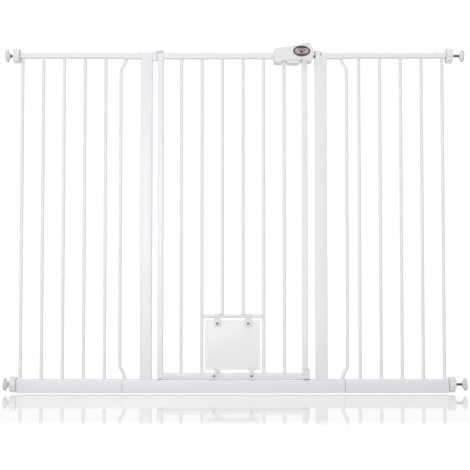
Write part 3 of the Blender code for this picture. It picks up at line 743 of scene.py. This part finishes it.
def make_hinges():
    """The upper bracket with its arm, and both hinge pins."""
    lower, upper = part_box("upper_hinge_bracket")
    block_right = middle("upper_hinge_pin").x - 12.2 * MM
    arm_bottom = upper.z - 3 * MM
    # The block steps back here to seat a grey strip of painted shade in its gap to the stile.
    inset_x = block_right - 1.2 * MM
    shade_strip_top = arm_bottom - 4 * MM
    fine = 0.3 * MM
    points = [
        (lower.x, lower.z, 1 * MM),
        (inset_x, lower.z, 1 * MM),
        (inset_x, shade_strip_top, fine),
        (block_right, shade_strip_top, fine),
        (block_right, arm_bottom, 0.8 * MM),
        (upper.x, arm_bottom, 1 * MM),
        (upper.x, upper.z, 1.2 * MM),
        (block_right - 2 * MM, upper.z, 2 * MM),
        *from_corner(lower.x, upper.z, (3, -3.6, 2.5), (0, -3.6, 1)),
    ]
    form = slab(rounded_outline(points, fine, steps=2), -8 * MM, 8 * MM, edge=0.25 * MM, segments=2)
    bracket = steel_piece("hinge_bracket", form, "frame", ["upper_hinge_bracket"])
    pin = middle("upper_hinge_pin")
    cutters = [rod((pin.x, 0, arm_bottom - 2 * MM), (pin.x, 0, upper.z + 2 * MM), 3.8 * MM)]
    for way in (-1, 1):
        near, far = sorted((way * 5.5 * MM, way * 12 * MM))
        start = (block_right + 1 * MM, near, arm_bottom - 1 * MM)
        cutters.append(block(start, (upper.x + 2 * MM, far, upper.z + 1 * MM)))
    cut_away(bracket, *cutters)
    # A zinc strip in the gap between the bracket's block and the door's stile: a grey piece put there as
    # painted shade, where that gap is only in shadow.
    shade_strip_low, shade_strip_high = lower.z + 0.4 * MM, shade_strip_top - 0.2 * MM
    outline = rounded_rectangle(15.6 * MM, shade_strip_high - shade_strip_low, 0.5 * MM)
    form = slab(outline, inset_x + 0.1 * MM, block_right, "YZ", edge=fine)
    form.transform(Matrix.Translation((0, 0, (shade_strip_low + shade_strip_high) / 2)))
    finished("hinge_gap_shade_strip", form, "frame", "zinc-plated rod")
    shank = in_mm((0, -35), (3, -35), (3.5, -34), (3.5, 0))
    cap = in_mm((5.6, 0), (6, 0.4), (6, 1.6), (5.2, 2.6), (3.4, 3), (0, 3))
    form = lathe(shank + cap, (pin.x, 0, upper.z + GAP))
    plastic_piece("upper_pin_cap", form, "hinge_pins", ["upper_hinge_pin"])
    lower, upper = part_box("lower_hinge_pin")
    radius, chamfer = 3.5 * MM, 0.8 * MM
    length = upper.z - lower.z
    start = [(0, 0), (radius - chamfer, 0), (radius, chamfer)]
    form = lathe(start + [(r, length - z) for r, z in reversed(start)], (pin.x, 0, lower.z))
    finished("lower_pin", form, "hinge_pins", "zinc-plated rod", ["lower_hinge_pin"])
    at = (low("upper_hinge_bracket").x, 0, middle("upper_hinge_bracket").z)
    steel_piece("hinge_bracket_weld", weld_loop(at, 15 * MM, 25 * MM, "YZ", 1 * MM), "frame")


def housing_outline():
    """The latch housing seen from the front: a wedge that rises to the thumb slide."""
    lower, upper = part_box("latch_housing_front")
    underside = ((0, 9, 7), (5, 1.8, 5), (24.5, 0.8, 3), (25.5, 8, 1.5), (103.5, 8, 3), (105, 5.5, 3))
    latch_end = ((0, 19, 6), (0, 43, 8))
    crest = ((111, 0, 5), (85, -1, 10), (7, -12.8, 5), (0, -19.5, 6))
    return [
        *from_corner(lower.x, lower.z, *underside, (116, 5.5, 6)),
        *from_corner(upper.x, lower.z, *latch_end),
        *from_corner(lower.x, upper.z, *crest),
    ]


def half_shell(points, depth, wall, corner):
    """One hollow half of the housing: skin, rolled edge and chamber from inset rings."""
    turns = (1.57, 1.4, 1.2, 0.9, 0.6, 0.3, 0)
    rolled = [(corner * (1 - math.sin(a)), corner * (1 - math.cos(a))) for a in turns]
    levels = [(0.0, depth), *rolled, (corner + 1 * MM, 0.0)]
    inner = [(corner + 1 * MM, wall), (corner, wall), (wall, corner), (wall, depth)]
    rings = []
    form = bmesh.new()
    for distance, y in levels + inner:
        outline = rounded_outline(inset(points, distance), 1 * MM, steps=6)
        rings.append([form.verts.new((x, z, y)) for x, z in outline])
    face = len(levels)
    bridge(form, rings[:face])
    form.faces.new(rings[face - 1])
    form.faces.new(rings[face][::-1])
    bridge(form, rings[face:] + rings[:1])
    bmesh.ops.recalc_face_normals(form, faces=form.faces)
    return form


def make_latch_housing(sizes):
    """Two hollow half shells with openings for rail, stile, bar, bolt and slide."""
    points = housing_outline()
    half = -low("latch_housing_front").y
    seam = 0.15 * MM
    shells = {"front": (-half, 1), "rear": (half, -1)}
    for name, (face, way) in shells.items():
        form = half_shell(points, half - seam, sizes.housing_wall, sizes.housing_corner)
        form.transform(Matrix.Translation((0, face, 0)) @ Matrix.Diagonal((1, way, 1, 1)) @ PLANES["XZ"])
        shell = plastic_piece(f"housing_{name}_shell", form, "door", [f"latch_housing_{name}"])
        cut_away(shell, *housing_openings())


def housing_openings():
    """What passes through the housing's walls."""
    lower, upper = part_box("latch_housing_front")
    rail_low, rail_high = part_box("door_top_rail")
    stile_low, stile_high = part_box("latch_stile")
    bolt_low = low("latch_bolt")
    bar = middle("door_bar_6").x
    gap = 0.5 * MM
    slide = middle("release_slider").x
    far = 0.03
    slot_x = lower.x + 0.703 * (upper.x - lower.x)
    slot_z = lower.z + 0.13 * (upper.z - lower.z)
    rail = (
        (lower.x - far, rail_low.y - gap, rail_low.z - gap),
        (lower.x + far, rail_high.y + gap, rail_high.z + gap),
    )
    stile = (
        (stile_low.x - gap, stile_low.y - gap, lower.z - far),
        (stile_high.x + gap, stile_high.y + gap, lower.z + far),
    )
    bolt = (
        (upper.x - 6 * MM, -4.6 * MM, bolt_low.z - gap),
        (upper.x + far, 4.6 * MM, bolt_low.z + 8 * MM + gap),
    )
    return [
        block(*rail),
        block(*stile),
        rod((bar, 0, lower.z - far), (bar, 0, lower.z + far), 5.4 * MM),
        block(*bolt),
        block((slide - 24 * MM, -3.5 * MM, upper.z - 12 * MM), (slide + 8 * MM, 3.5 * MM, upper.z + far)),
        block((slot_x - 1 * MM, -far, slot_z), (slot_x + 1 * MM, -12 * MM, slot_z + 6 * MM)),
    ]


def make_housing_details():
    """The grip under the housing, and the screws in the rear half."""
    lower = low("latch_housing_front")
    points = ((39.5, 2, 3), (72, 0, 4), (80, 4.5, 3), (81, 9.5, 1), (39.5, 9.5, 1))
    grip = rounded_outline(from_corner(lower.x, lower.z, *points), 2 * MM)
    form = slab(grip, -21.2 * MM, 21.2 * MM, edge=1.4 * MM)
    plastic_piece("housing_grip", form, "door")
    rear = high("latch_housing_rear").y
    heads = {
        "left": (14 * MM, 11 * MM),
        "middle": (60 * MM, 41 * MM),
        "right": (108 * MM, 14 * MM),
    }
    profile = in_mm((2.8, 0), (4.6, 0), (4.9, -0.3), (4.9, -1.2), (2.8, -1.2), (2.8, 0))
    for name, (across, up) in heads.items():
        x, z = lower.x + across, lower.z + up
        seat = lathe(profile, (x, rear, z), (0, 1, 0))
        plastic_piece(f"housing_screw_seat_{name}", seat, "door")
        pan_head_screw(f"housing_screw_{name}", (x, rear - 1.9 * MM, z), (0, 1, 0), 2.7 * MM, 6 * MM, "door")


def make_badge():
    """An oval badge: a plum ring, a brushed face, two crescents and a plain paw."""
    lower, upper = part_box("housing_badge")
    centre = (lower + upper) / 2
    wide, tall = (upper.x - lower.x) / 2, (upper.z - lower.z) / 2
    back, front = upper.y, lower.y
    stretch = Matrix.Translation((centre.x, back, centre.z)) @ Matrix.Diagonal((wide, 1, tall, 1))
    depth = back - front
    thin = 0.82
    shares = ((thin, 0), (1, 0), (1, 0.55), (0.96, 0.9), (0.91, 1), (0.86, 0.9), (thin, 0.6), (thin, 0))
    ring = lathe([(radius, share * depth) for radius, share in shares], (0, 0, 0), (0, -1, 0), 64)
    ring.transform(stretch)
    finished("badge_ring", ring, "door", "doming enamel", ["housing_badge"])
    rim = thin - 0.01
    face = lathe([(0, 0), (rim, 0), (rim, 0.55 * depth), (0, 0.62 * depth)], (0, 0, 0), (0, -1, 0), 64)
    face.transform(stretch)
    finished("badge_face", face, "door", "brushed aluminium foil")
    proud = front + 0.25 * depth
    for name, way in (("upper", 1), ("lower", -1)):
        outer = arc((0, 0), 0.84, 36, 144, 16)
        inner = [(x, 0.47 + 0.05 * math.cos(2.4 * x)) for x in (-0.5, -0.3, -0.1, 0.1, 0.3, 0.5)]
        points = [(centre.x + wide * x, centre.z + way * tall * z) for x, z in outer + inner]
        crescent = slab(points, proud, back - 0.3 * depth, "XZ", edge=0)
        finished(f"badge_{name}_crescent", crescent, "door", "doming enamel")
    toes = [(-0.3, 0.12), (-0.11, 0.3), (0.11, 0.3), (0.3, 0.12)]
    pads = [(x, z, 0.085, 0.13) for x, z in toes] + [(0, -0.15, 0.2, 0.24)]
    for number, (x, z, across, up) in enumerate(pads):
        pad = lathe([(0, 0), (1, 0), (0.85, 0.3 * depth), (0, 0.38 * depth)], (0, 0, 0), (0, -1, 0), 24)
        place = Matrix.Translation((centre.x + wide * x, back - 0.52 * depth, centre.z + tall * z))
        pad.transform(place @ Matrix.Diagonal((wide * across, 1, tall * up, 1)))
        finished(f"badge_paw_{number + 1}", pad, "door", "doming enamel")


def make_release():
    """The ribbed thumb slide and the bolt."""
    lower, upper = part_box("release_slider")
    pad_low = upper.z - 5.4 * MM
    profile = [
        (lower.x, pad_low, 0.5 * MM),
        (upper.x, pad_low, 0.5 * MM),
        (upper.x, pad_low + 1.6 * MM, 1.2 * MM),
        (upper.x - 3.5 * MM, upper.z, 1.5 * MM),
        (lower.x + 2 * MM, upper.z - 1.9 * MM, 2 * MM),
        (lower.x, pad_low + 1.4 * MM, 1 * MM),
    ]
    form = slab(rounded_outline(profile, 1 * MM), -10 * MM, 10 * MM, edge=1.4 * MM)
    stem = block((lower.x + 4 * MM, -3 * MM, lower.z), (lower.x + 16 * MM, 3 * MM, pad_low + 1 * MM))
    plastic_piece("thumb_slide", merge(form, stem), "release", ["release_slider"])
    for number in range(6):
        x = lower.x + (4.5 + 2.8 * number) * MM
        z = upper.z - 1.9 * MM + (x - lower.x - 2 * MM) * 0.09
        rib = pipe([(x, -7.5 * MM, z - 0.2 * MM), (x, 7.5 * MM, z - 0.2 * MM)], 0.55 * MM, sides=12)
        plastic_piece(f"thumb_slide_rib_{number + 1}", rib, "release")
    refinish("latch_bolt", "zinc-plated rod")


def make_spring():
    """The coil behind the bolt, which on the real latch shortens as the slide draws back; here it is built
    at one length.
    """
    lower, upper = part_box("bolt_spring")
    wire = 0.6 * MM
    centre = (lower + upper) / 2
    radius = (upper.z - lower.z) / 2 - wire
    turns, steps = 6, 28
    points = []
    for step in range(turns * steps + 1):
        angle = 2 * math.pi * step / steps
        x = lower.x + wire + (upper.x - lower.x - 2 * wire) * step / (turns * steps)
        points.append((x, centre.y + radius * math.cos(angle), centre.z + radius * math.sin(angle)))
    form = pipe(points, wire, sides=8)
    spring = finished("return_spring", form, "door", "zinc-plated screw", ["bolt_spring"])
    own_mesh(spring)


def make_strike():
    """The moulded keeper that fills the post's notch."""
    lower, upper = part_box("strike_block")
    slot_low, slot_high = low("latch_bolt").z - 1 * MM, low("latch_bolt").z + 12 * MM
    slot_x = high("latch_bolt").x + 0.8 * MM
    # The recess above the bolt's slot holds a zinc plate. Its grey is partly the zinc's own colour and
    # partly painted shade of the recess.
    shade_plate_low, shade_plate_high = slot_high + 0.7 * MM, upper.z - 1.6 * MM
    deep = lower.x + 2 * MM
    fine = 0.3 * MM
    points = [
        (lower.x, lower.z, 1 * MM),
        (upper.x, lower.z, 1 * MM),
        (upper.x, upper.z, 3 * MM),
        (lower.x, upper.z, 1 * MM),
        (lower.x, shade_plate_high, fine),
        (deep, shade_plate_high, fine),
        (deep, shade_plate_low, fine),
        (lower.x, shade_plate_low, fine),
        (lower.x, slot_high, fine),
        (slot_x, slot_high, fine),
        (slot_x, slot_low, fine),
        (lower.x, slot_low, fine),
    ]
    form = slab(rounded_outline(points, fine, steps=2), lower.y, upper.y, edge=0.25 * MM, segments=2)
    keeper = plastic_piece("strike_keeper", form, "frame", ["strike_block"])
    mark_low = (upper.x - 2.4 * MM, lower.y - 1 * MM, lower.z + 29 * MM)
    mark_high = (upper.x + 1 * MM, lower.y + 7 * MM, lower.z + 37 * MM)
    cut_away(keeper, block(mark_low, mark_high))
    # Zinc plate of painted shade in the keeper's recess, partly the bolt's own zinc grey.
    tall = shade_plate_high - shade_plate_low - 0.4 * MM
    plate = slab(rounded_rectangle(19.6 * MM, tall, 0.8 * MM), lower.x, deep - 0.1 * MM, "YZ", edge=fine)
    plate.transform(Matrix.Translation((0, 0, (shade_plate_low + shade_plate_high) / 2)))
    finished("strike_shade_plate", plate, "frame", "zinc-plated rod")
    x = middle("strike_block").x
    for name, z in (("upper", upper.z - 12 * MM), ("lower", lower.z + 9 * MM)):
        rear = upper.y + 0.05 * MM
        pan_head_screw(f"strike_screw_{name}", (x, rear - 0.4 * MM, z), (0, 1, 0), 2.6 * MM, 5 * MM, "frame")


def make_lock_foot():
    """The sleeve on the latch stile's foot."""
    lower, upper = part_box("lower_lock_foot")
    stile, pocket = high("latch_stile").x + GAP, high("latch_stile").y + GAP
    points = [
        (lower.x, lower.y, 1 * MM),
        (upper.x, lower.y, 4 * MM),
        (upper.x, upper.y, 4 * MM),
        (lower.x, upper.y, 1 * MM),
        (lower.x, pocket, 0.4 * MM),
        (stile, pocket, 0.6 * MM),
        (stile, -pocket, 0.6 * MM),
        (lower.x, -pocket, 0.4 * MM),
    ]
    form = slab(rounded_outline(points, 1 * MM), lower.z, upper.z, "XY", edge=0.8 * MM)
    plastic_piece("lock_foot", form, "door", ["lower_lock_foot"])


def make_flap():
    """The cat flap: a moulded panel with a raised rim, two clips and their screws."""
    lower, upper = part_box("flap_panel")
    width, height = upper.x - lower.x, upper.z - lower.z
    centre = (lower + upper) / 2
    thick = upper.y - lower.y
    step = 0.6 * MM
    rim_width = 9 * MM
    outer = rounded_rectangle(width, height, 4 * MM)
    panel = slab(outer, -thick / 2 + step, thick / 2 - step, edge=0.5 * MM)
    inner = rounded_rectangle(width - 2 * rim_width, height - 2 * rim_width, 3 * MM)
    rim = bmesh.new()
    soft = 0.5 * MM
    rings = []
    levels = (
        (outer, 1.0, -thick / 2 + soft),
        (outer, 1 - 2 * soft / width, -thick / 2),
        (inner, 1.0, -thick / 2),
        (inner, 1 - 1.2 * soft / width, -thick / 2 + step),
        (inner, 1 - 1.2 * soft / width, thick / 2 - step),
        (inner, 1.0, thick / 2),
        (outer, 1 - 2 * soft / width, thick / 2),
        (outer, 1.0, thick / 2 - soft),
    )
    for outline, scale, y in levels:
        rings.append([rim.verts.new((x * scale, y, z * scale)) for x, z in outline])
    bridge(rim, rings, closed=True)
    form = merge(panel, rim)
    form.transform(Matrix.Translation(centre))
    finished("flap_sheet", form, "flap", "moulded polypropylene", ["flap_panel"])
    for side in SIDES:
        make_flap_clip(side)


def make_flap_clip(side):
    """A strap over the cross rail with a round boss for its screw."""
    node = f"{side}_flap_clip"
    lower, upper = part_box(node)
    rod_z = middle("flap_cross_rail").z
    screw = middle(f"{side}_clip_screw")
    inner, outer = 5.3 * MM, upper.y
    leg, leg_out = 2.3 * MM, 5.3 * MM
    shoulder = rod_z - 9 * MM
    centre = (0, rod_z)
    points = (
        [(leg, lower.z), (leg_out, lower.z), (leg_out, shoulder)]
        + arc(centre, outer, -28, 208, 32)
        + [(-leg_out, shoulder), (-leg_out, lower.z), (-leg, lower.z), (-leg, rod_z - inner)]
        + arc(centre, inner, 240, -60, 32)
        + [(leg, rod_z - inner)]
    )
    form = slab(points, lower.x, upper.x, "YZ", edge=0.5 * MM, segments=2)
    plastic_piece(f"{side}_hinge_clip", form, "flap", [node])
    front = lower.y + 2.45 * MM
    rim = in_mm((2.4, -0.5), (9.6, -0.5), (9.6, 0.7), (8.8, 1.5))
    seat = in_mm((4.6, 1.7), (4.2, 0.9), (2.4, 0.9), (2.4, -0.5))
    boss = lathe(rim + seat, (screw.x, front, screw.z), (0, -1, 0))
    plastic_piece(f"{side}_clip_boss", boss, "flap")
    head = (screw.x, front - 0.95 * MM, screw.z)
    made = pan_head_screw(f"{side}_clip_pan_screw", head, (0, -1, 0), 3.5 * MM, 7 * MM, "flap")
    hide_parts(f"{side}_clip_screw")


def make_lock_levers():
    """The two turn buttons on the bottom rail that lock the flap."""
    for side, lean in (("left", math.radians(31)), ("right", 0.0)):
        node = f"{side}_flap_lever"
        lower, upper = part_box(node)
        pivot = middle(f"{side}_lever_screw")
        foot = arc((0, 0), 7 * MM, 150, 390, 24)
        right = in_mm((5.2, 8), (6.5, 14), (10, 18), (9.4, 24))
        left = [(-x, z) for x, z in reversed(right)]
        form = slab(foot + right + left, 0, upper.y - lower.y, "XZ", edge=0.9 * MM)
        ribs = []
        for height in (17.5, 19.6, 21.7):
            start, end = (-5.5 * MM, 0, height * MM), (5.5 * MM, 0, height * MM)
            ribs.append(pipe([start, end], 0.5 * MM, sides=10))
        merge(form, *ribs)
        front = lower.y
        form.transform(Matrix.Translation((pivot.x, front, pivot.z)) @ Matrix.Rotation(lean, 4, "Y"))
        lever = plastic_piece(f"{side}_turn_button", form, f"{side}_lever", [node])
        start, end = (pivot.x, front - 5 * MM, pivot.z), (pivot.x, upper.y + 2 * MM, pivot.z)
        cut_away(lever, rod(start, end, 2.4 * MM))
        head = (pivot.x, front - 0.3 * MM, pivot.z)
        made = pan_head_screw(f"{side}_lever_pan_screw", head, (0, -1, 0), 3.5 * MM, 11 * MM, "door")
        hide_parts(f"{side}_lever_screw")


def make_wheel(corner, sign, sizes):
    """A hand wheel: lobed rim, grooved face, chamfered hub and a bore, turned and then lobed."""
    node = f"{corner}_wheel"
    lower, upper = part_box(node)
    z = middle(node).z
    near = lower.x if sign > 0 else upper.x
    radius = (upper.z - lower.z) / 2
    bore, rim, top = 4.4 * MM, 19 * MM, upper.x - lower.x
    profile = [
        (bore, 0.6 * MM),
        (bore + 0.6 * MM, 0),
        *arc((radius - 1 * MM, 1 * MM), 1 * MM, -90, 0, 4),
        (radius, 6 * MM),
        (radius, 13 * MM),
        *arc((radius - 2.5 * MM, rim - 2.5 * MM), 2.5 * MM, 0, 90, 6),
        (18.6 * MM, rim),
        (17.8 * MM, rim - 1 * MM),
        (16 * MM, rim - 1 * MM),
        (15 * MM, rim + 0.4 * MM),
        (11.6 * MM, top - 0.5 * MM),
        (10.9 * MM, top),
        (bore + 0.5 * MM, top),
        (bore, top - 0.5 * MM),
        (bore, 0.6 * MM),
    ]
    form = lathe(profile, (0, 0, 0), steps=sizes.wheel_lobes * 14)
    flat = 16 * MM
    for vert in form.verts:
        out = Vector(vert.co[:2])
        if out.length > flat:
            wave = (0.5 - 0.5 * math.cos(sizes.wheel_lobes * math.atan2(out.y, out.x))) ** 2
            share = (out.length - flat) / (radius - flat)
            shorter = out * (1 - sizes.lobe_depth * wave * share / out.length)
            vert.co.x, vert.co.y = shorter
    form.transform(Matrix.Translation((near, 0, z)) @ turn_to((sign, 0, 0)))
    plastic_piece(f"{corner}_hand_wheel", form, node, [node])


def threaded_rod(start, end, radius, depth, pitch):
    """A rod with a rolled thread, as a helical wave over its length."""
    start, end = Vector(start), Vector(end)
    length = (end - start).length
    around, along = 28, 8
    rows = round(length / pitch * along)
    form = bmesh.new()
    rings = []
    for row in range(rows + 1):
        z = length * row / rows
        fade = min(1.0, z / (1.5 * MM), (length - z) / (1.5 * MM))
        ring = []
        for k in range(around):
            turn = (z / pitch - k / around) % 1.0
            wave = min(1.0, abs(2 * turn - 1) * 1.25)
            r = radius - depth * (1 - wave) * fade - 0.4 * MM * (1 - fade)
            angle = 2 * math.pi * k / around
            ring.append(form.verts.new((r * math.cos(angle), r * math.sin(angle), z)))
        rings.append(ring)
    bridge(form, rings)
    form.faces.new(rings[0][::-1])
    form.faces.new(rings[-1])
    form.transform(Matrix.Translation(start) @ turn_to(end - start))
    return form


def make_spindle(corner, sizes):
    node = f"{corner}_spindle"
    lower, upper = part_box(node)
    z = middle(node).z
    form = threaded_rod((lower.x, 0, z), (upper.x, 0, z), 4 * MM, sizes.thread_depth, sizes.thread_pitch)
    finished(f"{corner}_threaded_rod", form, f"{corner}_foot", "zinc-plated rod", [node])


def make_cup(corner, sign):
    """The wall cup with its radial webs, and the ringed rubber pad on its face."""
    node = f"{corner}_wall_cup"
    lower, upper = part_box(node)
    z = middle(node).z
    near = lower.x if sign > 0 else upper.x
    radius = (upper.z - lower.z) / 2
    depth = upper.x - lower.x
    plate = depth - 3 * MM
    profile = [
        (4.3 * MM, 5 * MM),
        (4.3 * MM, 0.4 * MM),
        (4.8 * MM, 0),
        (7.6 * MM, 0),
        (8.3 * MM, 0.6 * MM),
        (9 * MM, 2 * MM),
        (11 * MM, plate - 3.4 * MM),
        (radius - 5 * MM, plate - 1.6 * MM),
        (radius - 1 * MM, plate - 0.4 * MM),
        (radius, plate + 0.7 * MM),
        (radius, depth - 0.6 * MM),
        (radius - 0.6 * MM, depth),
        (0, depth),
        (0, 5 * MM),
    ]
    web_profile = [
        (8.2 * MM, 1.6 * MM),
        (radius - 3.5 * MM, plate - 0.4 * MM),
        (radius - 3.5 * MM, plate + 1 * MM),
        (8.5 * MM, plate + 1 * MM),
    ]
    form = lathe(profile, (0, 0, 0), steps=64)
    for number in range(6):
        web = slab(web_profile, -0.9 * MM, 0.9 * MM)
        web.transform(Matrix.Rotation(math.radians(60 * number), 4, "Z"))
        merge(form, web)
    form.transform(Matrix.Translation((near, 0, z)) @ turn_to((sign, 0, 0)))
    plastic_piece(f"{corner}_cup", form, f"{corner}_foot", [node])
    node = f"{corner}_wall_pad"
    lower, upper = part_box(node)
    thick = upper.x - lower.x
    face = upper.x if sign > 0 else lower.x
    outer = (upper.z - lower.z) / 2
    profile = [(0, -thick), (outer, -thick), (outer, -0.8 * MM), (outer - 0.8 * MM, 0)]
    for ring in range(4):
        edge = outer - (3 + 4 * ring) * MM
        groove = in_mm((0, 0), (-0.4, -0.6), (-1.2, -0.6), (-1.6, 0))
        profile += [(edge + across, deep) for across, deep in groove]
    profile.append((0, 0))
    form = lathe(profile, (face, 0, z), (sign, 0, 0), 64)
    finished(f"{corner}_pad", form, f"{corner}_foot", "thermoplastic rubber", [node])


def finish_hidden_steel():
    """The joining pins stay as they are modelled, in zinc-plated steel."""
    for corner in CORNERS:
        refinish(f"{corner}_joining_pin", "zinc-plated rod")


# Stage


def make_table(studio):
    """A level table of glossy white acrylic lit from below, just under the gate."""
    near, far, half_width = -2.4, 3.0, 3.0
    corners = ((-half_width, near), (half_width, near), (half_width, far), (-half_width, far))
    mesh = bpy.data.meshes.new("acrylic_table")
    mesh.from_pydata([(x, y, -3.4 * MM) for x, y in corners], [], [(0, 1, 2, 3)])
    lit_acrylic(studio)
    mesh.materials.append(bpy.data.materials["glossy white acrylic"])
    table = bpy.data.objects.new("acrylic_table", mesh)
    bpy.context.scene.collection.objects.link(table)


def add_panel(name, at, aim, size, power):
    """A soft rectangular light panel that points at a place."""
    light = bpy.data.lights.new(name, "AREA")
    light.shape = "RECTANGLE"
    light.size, light.size_y = size
    light.energy = power
    panel = bpy.data.objects.new(name, light)
    panel.location = at
    panel.rotation_euler = (Vector(aim) - Vector(at)).to_track_quat("-Z", "Y").to_euler()
    bpy.context.scene.collection.objects.link(panel)
    return panel


def make_lights(studio):
    """A bright backdrop glow behind the gate in a dimmer room, and four soft panels."""
    world = bpy.data.worlds.new("studio")
    world.use_nodes = True
    tree = world.node_tree
    way = add_node(tree, "ShaderNodeTexCoord").outputs["Generated"]
    parts = add_node(tree, "ShaderNodeSeparateXYZ", {"Vector": way})
    sides = add_node(
        tree,
        "ShaderNodeMapRange",
        {
            "Value": parts.outputs["X"],
            "From Min": -1.0,
            "From Max": 1.0,
            "To Min": studio.surround * 1.15,
            "To Max": studio.surround * 0.95,
        },
    )
    glow = add_node(
        tree,
        "ShaderNodeMapRange",
        {
            "Value": parts.outputs["Y"],
            "From Min": 0.88,
            "From Max": 0.925,
            "To Min": sides.outputs["Result"],
            "To Max": studio.window,
        },
    )
    background = tree.nodes["Background"]
    background.inputs["Color"].default_value = (1, 1, 1, 1)
    tree.links.new(glow.outputs["Result"], background.inputs["Strength"])
    bpy.context.scene.world = world
    add_panel("overhead_panel", (0, -0.9, 3.2), (0, -0.4, 0), (3.5, 2.0), studio.overhead_power)
    add_panel("side_panel", (-2.9, -2.2, 1.3), (-0.2, 0, 0.5), (1.6, 2.2), studio.side_power)
    add_panel("floor_panel", (0.1, -2.6, 0.14), (0.1, 0, 0.04), (3.0, 0.2), studio.floor_power)
    add_panel("catch_panel", (-0.62, -3.0, 0.72), (-0.27, 0, 0.5), (0.5, 0.75), studio.catch_power)


def make_camera(studio):
    camera = bpy.data.cameras.new("front_camera")
    camera.lens = studio.lens
    holder = bpy.data.objects.new("front_camera", camera)
    place = Vector((studio.shift_x, -studio.distance, studio.height))
    aim = Vector((studio.shift_x, 0, studio.aim))
    holder.location = place
    holder.rotation_euler = (aim - place).to_track_quat("-Z", "Y").to_euler()
    bpy.context.scene.collection.objects.link(holder)
    bpy.context.scene.camera = holder
    bpy.context.scene.view_settings.view_transform = "Standard"


# Operators


class GATE_OT_materials(bpy.types.Operator):
    """Make every finish and dress the pieces that keep their modelled shape"""

    bl_idname = "gate.materials"
    bl_label = "Materials"

    def execute(self, context):
        scene = context.scene
        colours = scene.gate_colours
        powder_coated_steel(colours)
        moulded_abs(colours)
        moulded_polypropylene(colours)
        zinc_plated_steel("zinc-plated rod", tuple(colours.thread))
        zinc_plated_steel("zinc-plated screw", tuple(colours.screw))
        thermoplastic_rubber(colours)
        badge_enamel(colours)
        brushed_badge_foil(colours)
        finish_hidden_steel()
        return {"FINISHED"}


class GATE_OT_frame(bpy.types.Operator):
    """Build the threshold, posts, stubs and bent side bars"""

    bl_idname = "gate.frame"
    bl_label = "Main Frame"

    def execute(self, context):
        scene = context.scene
        make_main_frame(scene.gate_sizes)
        make_side_bars(scene.gate_sizes)
        return {"FINISHED"}


class GATE_OT_extensions(bpy.types.Operator):
    """Build both extension panels"""

    bl_idname = "gate.extensions"
    bl_label = "Extension Panels"

    def execute(self, context):
        scene = context.scene
        make_extension_panels(scene.gate_sizes)
        return {"FINISHED"}


class GATE_OT_door(bpy.types.Operator):
    """Build the door's tubes, bars, hinges and lock foot"""

    bl_idname = "gate.door"
    bl_label = "Door"

    def execute(self, context):
        scene = context.scene
        make_door(scene.gate_sizes)
        make_hinges()
        make_lock_foot()
        return {"FINISHED"}


class GATE_OT_latch(bpy.types.Operator):
    """Build the latch housing, its badge, the thumb slide and the strike"""

    bl_idname = "gate.latch"
    bl_label = "Latch"

    def execute(self, context):
        scene = context.scene
        make_latch_housing(scene.gate_sizes)
        make_housing_details()
        make_badge()
        make_release()
        make_spring()
        make_strike()
        return {"FINISHED"}


class GATE_OT_flap(bpy.types.Operator):
    """Build the cat flap, its clips and its lock levers"""

    bl_idname = "gate.flap"
    bl_label = "Cat Flap"

    def execute(self, context):
        make_flap()
        make_lock_levers()
        return {"FINISHED"}


class GATE_OT_adjusters(bpy.types.Operator):
    """Build the four wheels, threaded rods, cups and pads"""

    bl_idname = "gate.adjusters"
    bl_label = "Wall Adjusters"

    def execute(self, context):
        scene = context.scene
        for corner in CORNERS:
            sign = -1 if corner.startswith("left") else 1
            make_wheel(corner, sign, scene.gate_sizes)
            make_spindle(corner, scene.gate_sizes)
            make_cup(corner, sign)
        return {"FINISHED"}


class GATE_OT_stage(bpy.types.Operator):
    """Set up the lit table, the lights and the camera"""

    bl_idname = "gate.stage"
    bl_label = "Studio"

    def execute(self, context):
        scene = context.scene
        studio = scene.gate_studio
        make_table(studio)
        make_lights(studio)
        make_camera(studio)
        return {"FINISHED"}


STEPS = (
    GATE_OT_materials,
    GATE_OT_frame,
    GATE_OT_extensions,
    GATE_OT_door,
    GATE_OT_latch,
    GATE_OT_flap,
    GATE_OT_adjusters,
    GATE_OT_stage,
)


class GATE_PT_panel(bpy.types.Panel):
    """The gate's steps, in order"""

    bl_idname = "GATE_PT_panel"
    bl_label = "Pet Gate"
    bl_space_type = "VIEW_3D"
    bl_region_type = "UI"
    bl_category = "Pet Gate"

    def draw(self, context):
        for step in STEPS:
            self.layout.operator(step.bl_idname)
        for group in (context.scene.gate_colours, context.scene.gate_sizes, context.scene.gate_studio):
            box = self.layout.box()
            for name in group.bl_rna.properties.keys():
                if name not in ("rna_type", "name"):
                    box.prop(group, name)


CLASSES = (GateColours, GateSizes, GateStudio, *STEPS, GATE_PT_panel)


def register():
    for entry in CLASSES:
        bpy.utils.register_class(entry)
    bpy.types.Scene.gate_colours = PointerProperty(type=GateColours)
    bpy.types.Scene.gate_sizes = PointerProperty(type=GateSizes)
    bpy.types.Scene.gate_studio = PointerProperty(type=GateStudio)


def unregister():
    del bpy.types.Scene.gate_studio
    del bpy.types.Scene.gate_sizes
    del bpy.types.Scene.gate_colours
    for entry in reversed(CLASSES):
        bpy.utils.unregister_class(entry)


def main():
    register()
    bpy.ops.gate.materials()
    bpy.ops.gate.frame()
    bpy.ops.gate.extensions()
    bpy.ops.gate.door()
    bpy.ops.gate.latch()
    bpy.ops.gate.flap()
    bpy.ops.gate.adjusters()
    bpy.ops.gate.stage()


if __name__ == "__main__":
    main()
